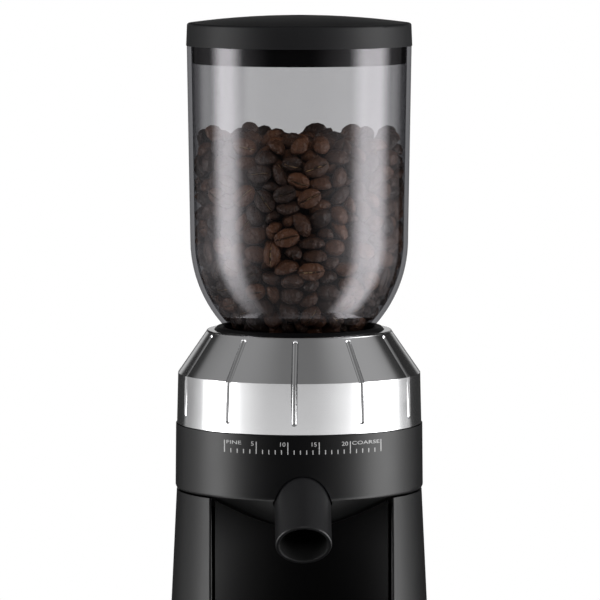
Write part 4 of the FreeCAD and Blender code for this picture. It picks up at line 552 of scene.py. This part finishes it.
class GRINDER_OT_works(Operator):
    """Finish the burrs, shafts, gears, motor, switches and board"""
    bl_idname = "grinder.works"
    bl_label = "Works"

    def execute(self, context):
        dress(turned_steel("burr steel", (0.46, 0.46, 0.47), roughness=0.28), "cone_burr", "ring_burr")
        dress(turned_steel("bright steel", (0.58, 0.58, 0.59), roughness=0.22), "main_shaft", "burr_nut",
              "shaft_bearings", "layshaft", "motor_shaft", "chamber_posts")
        dress(turned_steel("screw steel", (0.40, 0.40, 0.41), roughness=0.30), "base_screws",
              "column_screws", "deck_screws", "gearbox_screws", "motor_screws", "cradle_screws",
              "ring_burr_screws")
        dress(plated("motor plate", (0.55, 0.54, 0.50), roughness=0.35), "motor_can")
        dress(turned_steel("core steel", (0.22, 0.21, 0.21), roughness=0.45), "armature", "motor_magnets")
        dress(cast("cast metal", (0.50, 0.50, 0.51), roughness=0.42), "grind_chamber", "gearbox_plate")
        dress(moulded("nylon", (0.62, 0.60, 0.54), roughness=0.45, shine=0.4), "main_gear", "lay_gear")
        dress(turned_steel("brass", (0.62, 0.43, 0.17), roughness=0.30), "lay_pinion", "motor_pinion",
              "layshaft_bushes")
        dress(moulded("dark plastic", (0.020, 0.020, 0.021), roughness=0.48, shine=0.35), "burr_carrier",
              "sweeper", "finger_guard", "gearbox_cover", "motor_cap", "start_switch", "switch_body",
              "board_parts")
        dress(circuit("circuit board"), "control_board")
        return {"FINISHED"}


class GRINDER_OT_beans(Operator):
    """Pour roasted beans into the hopper and let them settle"""
    bl_idname = "grinder.beans"
    bl_label = "Coffee beans"

    # The pour runs at a hundred times the size, where the solver is steady
    ENLARGED = 100.0
    FRAMES = 64
    STEPS = 5
    ITERATIONS = 10
    GRAVITY = -30.0
    BODY = {"friction": 0.45, "use_margin": True, "collision_margin": 0.01,
            "linear_damping": 0.1, "angular_damping": 0.6}

    # A bean is a ball whose points below this height become the flat side
    SEGMENTS = 10
    RINGS = 6
    BELOW = -0.01

    # How much of it is left in depth, across the lips of the crease and in depth in the crease
    FLAT = 0.55
    LIPS = 0.38
    CREASE = 0.5

    # Sideways to depth of the points in the lips and in the crease
    LIP_SLOPES = (0.3, 2.0)
    CREASE_SLOPE = 0.1

    # Loose stack: bean lengths from bean to bean and from layer to layer, and how far a bean strays
    PITCH = 1.02
    LAYER = 0.82
    STRAY = 0.001
    QUICK_TOP = 0.322

    # Reach of a layer beside the burr axis, up to a height above the collar's mouth
    REACHES = ((0.012, 0.022), (0.035, 0.038), (math.inf, 0.046))

    # Sleeve above the hopper that guides the beans, and the plug that holds them up in the neck
    SLEEVE_RADIUS = 0.0515
    SLEEVE_DEPTH = 0.6
    SLEEVE_RISE = 0.25
    PLUG_RADIUS = 0.033
    PLUG_DEPTH = 0.004

    # Share of the beans that start with their flat side to the wall
    FLAT_SHARE = 0.5

    # How far roasts lean to the dark end, and how much chaff a bean may have
    ROAST_LEAN = 1.6
    CHAFF = (0.15, 0.4, 0.8, 1.0)

    def execute(self, context):
        fill = context.scene.grinder_beans
        draws = random.Random(fill.seed)
        bean = self.model_bean(fill)
        beans = self.stack(bean, fill, draws)
        self.pour(context, beans)
        for one in beans:
            one.data = one.data.copy()
            self.paint(one.data, draws)
            one.matrix_world = Matrix.Scale(1 / self.ENLARGED, 4) @ one.matrix_world
        bpy.data.objects.remove(bean)
        heap = join(beans, "coffee_beans")
        settle(heap)
        bpy.ops.object.shade_smooth()
        heap.data.materials.clear()
        heap.data.materials.append(roasted("roasted coffee", fill.dark, fill.light, fill.chaff))
        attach(heap, "hopper")
        return {"FINISHED"}

    def model_bean(self, fill):
        """One bean, flat below with a crease along it, at the size of the pour"""
        bpy.ops.mesh.primitive_uv_sphere_add(segments=self.SEGMENTS, ring_count=self.RINGS, radius=0.5,
                                             rotation=(0.0, math.pi / 2, 0.0))
        bean = bpy.context.object
        bean.name = "bean"
        bean.data.uv_layers[0].name = "bean"
        settle(bean)
        middle = {"center_override": (0.0, 0.0, 0.0)}
        pick(bean, lambda p: True)
        bpy.ops.transform.rotate(value=math.pi / self.SEGMENTS, orient_axis="X", **middle)
        leave_edit()
        pick(bean, lambda p: p.z < self.BELOW)
        bpy.ops.transform.resize(value=(1.0, 1.0, self.FLAT), **middle)
        leave_edit()
        narrow, wide = self.LIP_SLOPES
        pick(bean, lambda p: p.z < self.BELOW and narrow < abs(p.y / p.z) < wide)
        bpy.ops.transform.resize(value=(1.0, self.LIPS, 1.0), **middle)
        leave_edit()
        pick(bean, lambda p: p.z < self.BELOW and abs(p.y / p.z) < self.CREASE_SLOPE)
        bpy.ops.transform.resize(value=(1.0, 1.0, self.CREASE), **middle)
        leave_edit()
        tall = bean.dimensions.z
        bean.scale = (fill.length * self.ENLARGED, fill.width * self.ENLARGED,
                      fill.thickness * self.ENLARGED / tall)
        settle(bean)
        return bean

    def stack(self, bean, fill, draws):
        """Loose layers of beans above the neck, ready to fall"""
        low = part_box("finger_guard")[1].z
        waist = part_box("collar_core")[1].z
        pitch = fill.length * self.PITCH
        layer = fill.length * self.LAYER
        beans = []
        height = low + layer
        odd = 0
        top = math.inf
        while len(beans) < fill.count and height < top:
            reach = next(reach for rise, reach in self.REACHES if height < waist + rise)
            across = int(reach / pitch) + 1
            for i in range(-across, across + 1):
                for j in range(-across, across + 1):
                    x = (i + odd / 2) * pitch + draws.uniform(-self.STRAY, self.STRAY)
                    y = (j + odd / 2) * pitch + draws.uniform(-self.STRAY, self.STRAY)
                    if math.hypot(x, y) > reach or len(beans) >= fill.count:
                        continue
                    one = bpy.data.objects.new("bean", bean.data)
                    bpy.context.scene.collection.objects.link(one)
                    one.location = Vector((x + BURR_AXIS.x, y + BURR_AXIS.y, height)) * self.ENLARGED
                    one.rotation_euler = self.heading(x, y, draws)
                    one.scale = [draws.uniform(1 - fill.spread, 1 + fill.spread) for _ in range(3)]
                    beans.append(one)
            height += layer
            odd = 1 - odd
        bpy.context.view_layer.update()
        return beans

    def heading(self, x, y, draws):
        """Any turn at all, or half the time the flat side to the wall"""
        free = Euler([draws.uniform(0, 2 * math.pi) for _ in range(3)])
        twist = Quaternion((0.0, 0.0, 1.0), draws.uniform(0, 2 * math.pi))
        if draws.random() < self.FLAT_SHARE:
            return free
        return (Vector((x, y, 0.0)).to_track_quat("-Z", "Y") @ twist).to_euler()

    def wall(self, source):
        """A big copy of a piece for the beans to fall against"""
        copy = source.copy()
        copy.data = source.data.copy()
        copy.parent = None
        copy.matrix_world = Matrix.Scale(self.ENLARGED, 4)
        bpy.context.scene.collection.objects.link(copy)
        settle(copy)
        return copy

    def drum(self, sides, radius, depth, height, ends):
        """A big cylinder on the burr axis"""
        bpy.ops.mesh.primitive_cylinder_add(
            vertices=sides, radius=radius * self.ENLARGED, depth=depth * self.ENLARGED, end_fill_type=ends,
            location=Vector((BURR_AXIS.x, BURR_AXIS.y, height)) * self.ENLARGED)
        return bpy.context.object

    def pour(self, context, beans):
        """Lets the beans fall into the hopper"""
        scene = context.scene
        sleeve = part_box("hopper")[1].z + self.SLEEVE_RISE
        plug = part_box("finger_guard")[1].z - self.PLUG_DEPTH / 2
        walls = [self.wall(NODES["hopper"]), self.wall(NODES["finger_guard"]),
                 self.drum(48, self.SLEEVE_RADIUS, self.SLEEVE_DEPTH, sleeve, "NOTHING"),
                 self.drum(32, self.PLUG_RADIUS, self.PLUG_DEPTH, plug, "NGON")]
        bpy.ops.rigidbody.world_add()
        world = scene.rigidbody_world
        world.substeps_per_frame = self.STEPS
        world.solver_iterations = self.ITERATIONS
        world.point_cache.frame_end = self.FRAMES
        scene.gravity = (0.0, 0.0, self.GRAVITY)
        self.make_bodies(walls, "PASSIVE", "MESH")
        self.make_bodies(beans, "ACTIVE", "CONVEX_HULL")
        for number in range(1, self.FRAMES + 1):
            scene.frame_set(number)
        rests = [one.matrix_world.copy() for one in beans]
        bpy.ops.rigidbody.world_remove()
        scene.frame_set(1)
        for one, rest in zip(beans, rests):
            one.matrix_world = rest
        for wall in walls:
            bpy.data.objects.remove(wall)

    def make_bodies(self, things, kind, shape):
        bpy.ops.object.select_all(action="DESELECT")
        for thing in things:
            thing.select_set(True)
        bpy.context.view_layer.objects.active = things[0]
        bpy.ops.rigidbody.objects_add(type=kind)
        for thing in things:
            thing.rigid_body.collision_shape = shape
            for name, value in self.BODY.items():
                setattr(thing.rigid_body, name, value)

    def paint(self, mesh, draws):
        """Gives a bean its own roast and chaff"""
        roast = draws.random() ** self.ROAST_LEAN
        chaff = draws.choice(self.CHAFF)
        for name, value in (("roast", roast), ("thread", chaff)):
            layer = mesh.attributes.new(name, "FLOAT", "POINT")
            for item in layer.data:
                item.value = value


class GRINDER_OT_scale(Operator):
    """Print the grind scale on the front of the housing"""
    bl_idname = "grinder.scale"
    bl_label = "Grind scale"

    # The flat marks are made this far ahead of the housing
    AHEAD = 0.03
    LONG_EVERY = 5

    # Strokes from a long mark to its word, and to its number
    WORD_GAP = 1.6
    NUMBER_GAP = 2.4

    def execute(self, context):
        marks = context.scene.grinder_scale
        made = []
        for step in range(marks.steps + 1):
            tall = marks.short if step % self.LONG_EVERY else marks.tall
            made.append(self.mark(marks, marks.start + step * marks.pitch, tall))
        top = marks.foot + marks.tall
        for step in range(self.LONG_EVERY, marks.steps, self.LONG_EVERY):
            x = marks.start + step * marks.pitch - marks.stroke * self.NUMBER_GAP
            number = self.words(str(step), marks.figures, marks.figure_spacing, "RIGHT")
            made.append(self.stand(number, x, top))
        for step, words in ((0, "FINE"), (marks.steps - self.LONG_EVERY, "COARSE")):
            x = marks.start + step * marks.pitch + marks.stroke * self.WORD_GAP
            word = self.words(words, marks.letters, marks.spacing, "LEFT")
            made.append(self.stand(word, x, top))
        scale = join(made, "grind_scale")
        self.lay_on(scale, NODES["upper_housing"], marks.film)
        scale.data.materials.clear()
        scale.data.materials.append(printed("scale ink", marks.ink))
        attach(scale, "body")
        return {"FINISHED"}

    def front(self):
        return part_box("upper_housing")[0].y - self.AHEAD

    def mark(self, marks, x, tall):
        """One upright stroke, standing ahead of the housing"""
        bpy.ops.mesh.primitive_plane_add(size=1.0, location=(x, self.front(), marks.foot + tall / 2),
                                         rotation=(math.pi / 2, 0.0, 0.0))
        mark = bpy.context.object
        mark.scale = (marks.stroke, tall, 1.0)
        settle(mark)
        return mark

    def words(self, words, size, extension, side):
        """A number or word as a flat upright mesh"""
        bpy.ops.object.text_add(rotation=(math.pi / 2, 0.0, 0.0))
        text = bpy.context.object
        text.data.body = words
        text.data.size = size
        text.data.align_x = side
        text.data.resolution_u = 3
        alone(text)
        bpy.ops.object.convert(target="MESH")
        text = bpy.context.object
        text.scale = (extension, 1.0, 1.0)
        return text

    def stand(self, text, x, top):
        """Stands a number or word beside a long mark, its capitals level with the mark's top"""
        text.location = (x, self.front(), top - text.dimensions.y)
        settle(text)
        return text

    def lay_on(self, scale, housing, film):
        """Lays the flat marks on the round housing and gives the ink its thickness"""
        alone(scale)
        wrap = scale.modifiers.new("lay", "SHRINKWRAP")
        wrap.target = housing
        wrap.wrap_method = "PROJECT"
        wrap.use_project_y = True
        wrap.use_positive_direction = True
        wrap.use_negative_direction = False
        wrap.offset = film / 2
        bpy.ops.object.modifier_apply(modifier=wrap.name)
        thick = scale.modifiers.new("ink", "SOLIDIFY")
        thick.thickness = film
        thick.offset = 0.0
        bpy.ops.object.modifier_apply(modifier=thick.name)


class GRINDER_OT_studio(Operator):
    """Set up the camera, the soft light and the pale floor"""
    bl_idname = "grinder.studio"
    bl_label = "Studio"

    # Where bands of the room start, are full, fade and end, in degrees from the front
    LEFT_CORE = (60, 80, 87, 107)
    LEFT_WASH = (28, 80, 98, 134)
    RIGHT_CORE = (50, 72, 88, 109)
    RIGHT_WASH = (8, 76, 100, 126)
    OVERHEAD = (20, 80, 100, 150)

    # Edges in degrees, from where a thing is gone to where it is full
    FLAGS = (141, 135)
    STRIP_SIDE = (154, 162)
    STRIP_FOOT = (0, 4)
    STRIP_HEAD = (14, 9)
    WASH_HEAD = (-3.6, -6.2)
    WASH_FOOT = (-30, -14)
    LEFT_FOOT = (-72, -6)
    RIGHT_FOOT = (-75, -40)
    SCREEN_HEAD = (26, 11)
    CEILING = (11, 30)
    TABLE = (-20, -35)

    # Shares of a wash that are left past its fading end, and past its head and foot
    LEFT_REST = 0.32
    RIGHT_REST = 0.42
    HIGH_REST = 0.25

    # The flags lean with height, and stand nearer on the right by so many degrees
    FLAG_LEAN = 0.2
    RIGHT_FLAG = 11

    # Brightness of the overhead band, and what the right side has more
    OVERHEAD_GLOW = 0.16
    OVERHEAD_RIGHT = 0.12

    # Size and place of each lamp, and the height that they face
    KEY = ((0.9, 0.7), (0.15, -1.1, 1.0))
    COLLAR_CARD = ((8.0, 0.8), (0.0, -1.0, -0.2))
    SPOUT_CARD = ((0.6, 0.25), (0.0, -1.0, 0.6))
    CHIN_CARD = ((0.16, 0.03), (0.0, -0.014, 0.098))
    AIM = 0.2

    # Half the width of the seam between the left and right of the room
    SEAM = 0.1

    # How far the camera sees, and how far the floor lies under the feet
    FAR = 50.0
    CLEARANCE = 0.0002

    def execute(self, context):
        studio = context.scene.grinder_studio
        self.set_camera(context.scene, studio)
        self.set_room(context.scene, studio)
        self.set_lamps(context.scene, studio)
        self.lay_floor(studio)
        return {"FINISHED"}

    def set_camera(self, scene, studio):
        level = math.cos(studio.elevation)
        back = Vector((math.sin(studio.azimuth) * level, -math.cos(studio.azimuth) * level,
                       math.sin(studio.elevation)))
        camera = bpy.data.objects.new("camera", bpy.data.cameras.new("camera"))
        scene.collection.objects.link(camera)
        camera.data.lens = studio.lens
        camera.data.clip_end = self.FAR
        camera.location = Vector(studio.target) + back * studio.distance
        camera.rotation_euler = (-back).to_track_quat("-Z", "Y").to_euler()
        scene.camera = camera
        scene.view_settings.view_transform = "Standard"

    def set_room(self, scene, studio):
        """Bright screens at the sides, dark flags and rim strips behind, and a white sweep for the camera"""
        world = bpy.data.worlds.new("studio")
        world.use_nodes = True
        scene.world = world
        g = Graph(world.node_tree)
        x, y, z = g.split(g.add("ShaderNodeTexCoord", output="Generated"))
        turn = abs(g.add("ShaderNodeMath", {"operation": "ARCTAN2"}, {0: x, 1: y * -1.0}))
        rise = g.add("ShaderNodeMath", {"operation": "ARCSINE"}, {0: z})
        side = g.step(x, -self.SEAM, self.SEAM)
        lit = self.edge(g, turn + rise * self.FLAG_LEAN + side * (self.RIGHT_FLAG * DEGREE), self.FLAGS)
        upper = self.edge(g, rise, self.CEILING)
        over = (studio.ceiling + self.band(g, turn, self.OVERHEAD)
                * (side * self.OVERHEAD_RIGHT + self.OVERHEAD_GLOW))
        ahead = studio.front * (1 - upper) + over * upper
        strips = (self.edge(g, turn, self.STRIP_SIDE) * self.edge(g, rise, self.STRIP_FOOT)
                  * self.edge(g, rise, self.STRIP_HEAD))
        glow = (lit * (ahead + self.screens(g, studio, turn, rise, side)) + studio.rear * (1 - lit)
                + strips * studio.strips + self.edge(g, rise, self.TABLE) * studio.table)
        seen = g.add("ShaderNodeLightPath", output="Is Camera Ray")
        sky = g.add("ShaderNodeBackground", None, {"Color": (1.0, 1.0, 1.0, 1.0),
                                                   "Strength": seen + glow * (1 - seen)})
        g.output("ShaderNodeOutputWorld", sky)

    def screens(self, g, studio, turn, rise, side):
        """A bright core in a dimmer wash at each side, fading out above and below"""
        low = self.edge(g, rise, self.WASH_HEAD) * self.edge(g, rise, self.WASH_FOOT)
        low = low * (1 - self.HIGH_REST) + self.HIGH_REST
        left = (self.band(g, turn, self.LEFT_CORE) * studio.left
                + self.band(g, turn, self.LEFT_WASH, self.LEFT_REST) * low * studio.left_wash)
        right = (self.band(g, turn, self.RIGHT_CORE) * studio.right
                 + self.band(g, turn, self.RIGHT_WASH, self.RIGHT_REST) * low * studio.right_wash)
        left = left * self.edge(g, rise, self.LEFT_FOOT)
        right = right * self.edge(g, rise, self.RIGHT_FOOT)
        return (left * (1 - side) + right * side) * self.edge(g, rise, self.SCREEN_HEAD)

    def edge(self, g, angle, degrees):
        """From nothing at the first angle to all at the second"""
        return g.step(angle, degrees[0] * DEGREE, degrees[1] * DEGREE)

    def band(self, g, turn, degrees, rest=0.0):
        """A band of the room, soft at both ends"""
        start, full, fade, end = degrees
        outer = self.edge(g, turn, (end, fade)) * (1 - rest) + rest
        return self.edge(g, turn, (start, full)) * outer

    def set_lamps(self, scene, studio):
        """A soft key light that leaves no mirror image, and cards that only one piece each mirrors"""
        key = self.lamp(scene, "key", studio.key, *self.KEY)
        key.visible_glossy = False
        self.card(scene, "collar card", studio.collar_card, *self.COLLAR_CARD, "collar_shell")
        self.card(scene, "spout card", studio.spout_card, *self.SPOUT_CARD, "spout")
        self.card(scene, "chin card", studio.chin_card, *self.CHIN_CARD, "upper_housing")

    def card(self, scene, name, power, size, place, node):
        """A lamp that one piece alone mirrors"""
        card = self.lamp(scene, name, power, size, place)
        card.visible_diffuse = False
        only = bpy.data.collections.new(name)
        only.objects.link(NODES[node])
        card.light_linking.receiver_collection = only

    def lamp(self, scene, name, power, size, place):
        """A rectangular soft light that faces the hopper and isn't seen itself"""
        data = bpy.data.lights.new(name, "AREA")
        data.shape = "RECTANGLE"
        data.energy = power
        data.size, data.size_y = size
        lamp = bpy.data.objects.new(name, data)
        scene.collection.objects.link(lamp)
        lamp.location = place
        aim = Vector((BURR_AXIS.x, BURR_AXIS.y, self.AIM)) - lamp.location
        lamp.rotation_euler = aim.to_track_quat("-Z", "Y").to_euler()
        lamp.visible_camera = False
        return lamp

    def lay_floor(self, studio):
        bpy.ops.object.select_all(action="DESELECT")
        bpy.ops.mesh.primitive_circle_add(vertices=96, radius=studio.floor, fill_type="NGON",
                                          location=(0.0, 0.0, CAD_BOX[0].z - self.CLEARANCE))
        floor = bpy.context.object
        floor.name = "floor"
        settle(floor)
        floor.data.materials.append(pale_floor("pale floor", studio.floor))
        floor.visible_glossy = False


class GRINDER_PT_panel(Panel):
    """Lists the pieces in the sidebar of the 3D view"""
    bl_label = "Burr coffee grinder"
    bl_space_type = "VIEW_3D"
    bl_region_type = "UI"
    bl_category = "Grinder"

    def draw(self, context):
        for group in GROUPS:
            box = self.layout.box()
            for name in GROUPS[group].__annotations__:
                box.prop(getattr(context.scene, group), name)
        for piece in PIECES:
            self.layout.operator(piece.bl_idname)


GROUPS = {
    "grinder_colours": CasingColours,
    "grinder_beans": CoffeeFill,
    "grinder_scale": GrindScale,
    "grinder_studio": StudioSet,
}
PIECES = (GRINDER_OT_casing, GRINDER_OT_hopper, GRINDER_OT_metal, GRINDER_OT_works, GRINDER_OT_beans,
          GRINDER_OT_scale, GRINDER_OT_studio)


def register():
    for group in GROUPS:
        bpy.utils.register_class(GROUPS[group])
        setattr(bpy.types.Scene, group, PointerProperty(type=GROUPS[group]))
    for piece in PIECES:
        bpy.utils.register_class(piece)
    bpy.utils.register_class(GRINDER_PT_panel)


def unregister():
    bpy.utils.unregister_class(GRINDER_PT_panel)
    for piece in PIECES:
        bpy.utils.unregister_class(piece)
    for group in GROUPS:
        delattr(bpy.types.Scene, group)
        bpy.utils.unregister_class(GROUPS[group])


def main():
    register()
    bpy.ops.grinder.casing()
    bpy.ops.grinder.hopper()
    bpy.ops.grinder.metal()
    bpy.ops.grinder.works()
    bpy.ops.grinder.beans()
    bpy.ops.grinder.scale()
    bpy.ops.grinder.studio()


if __name__ == "__main__":
    main()
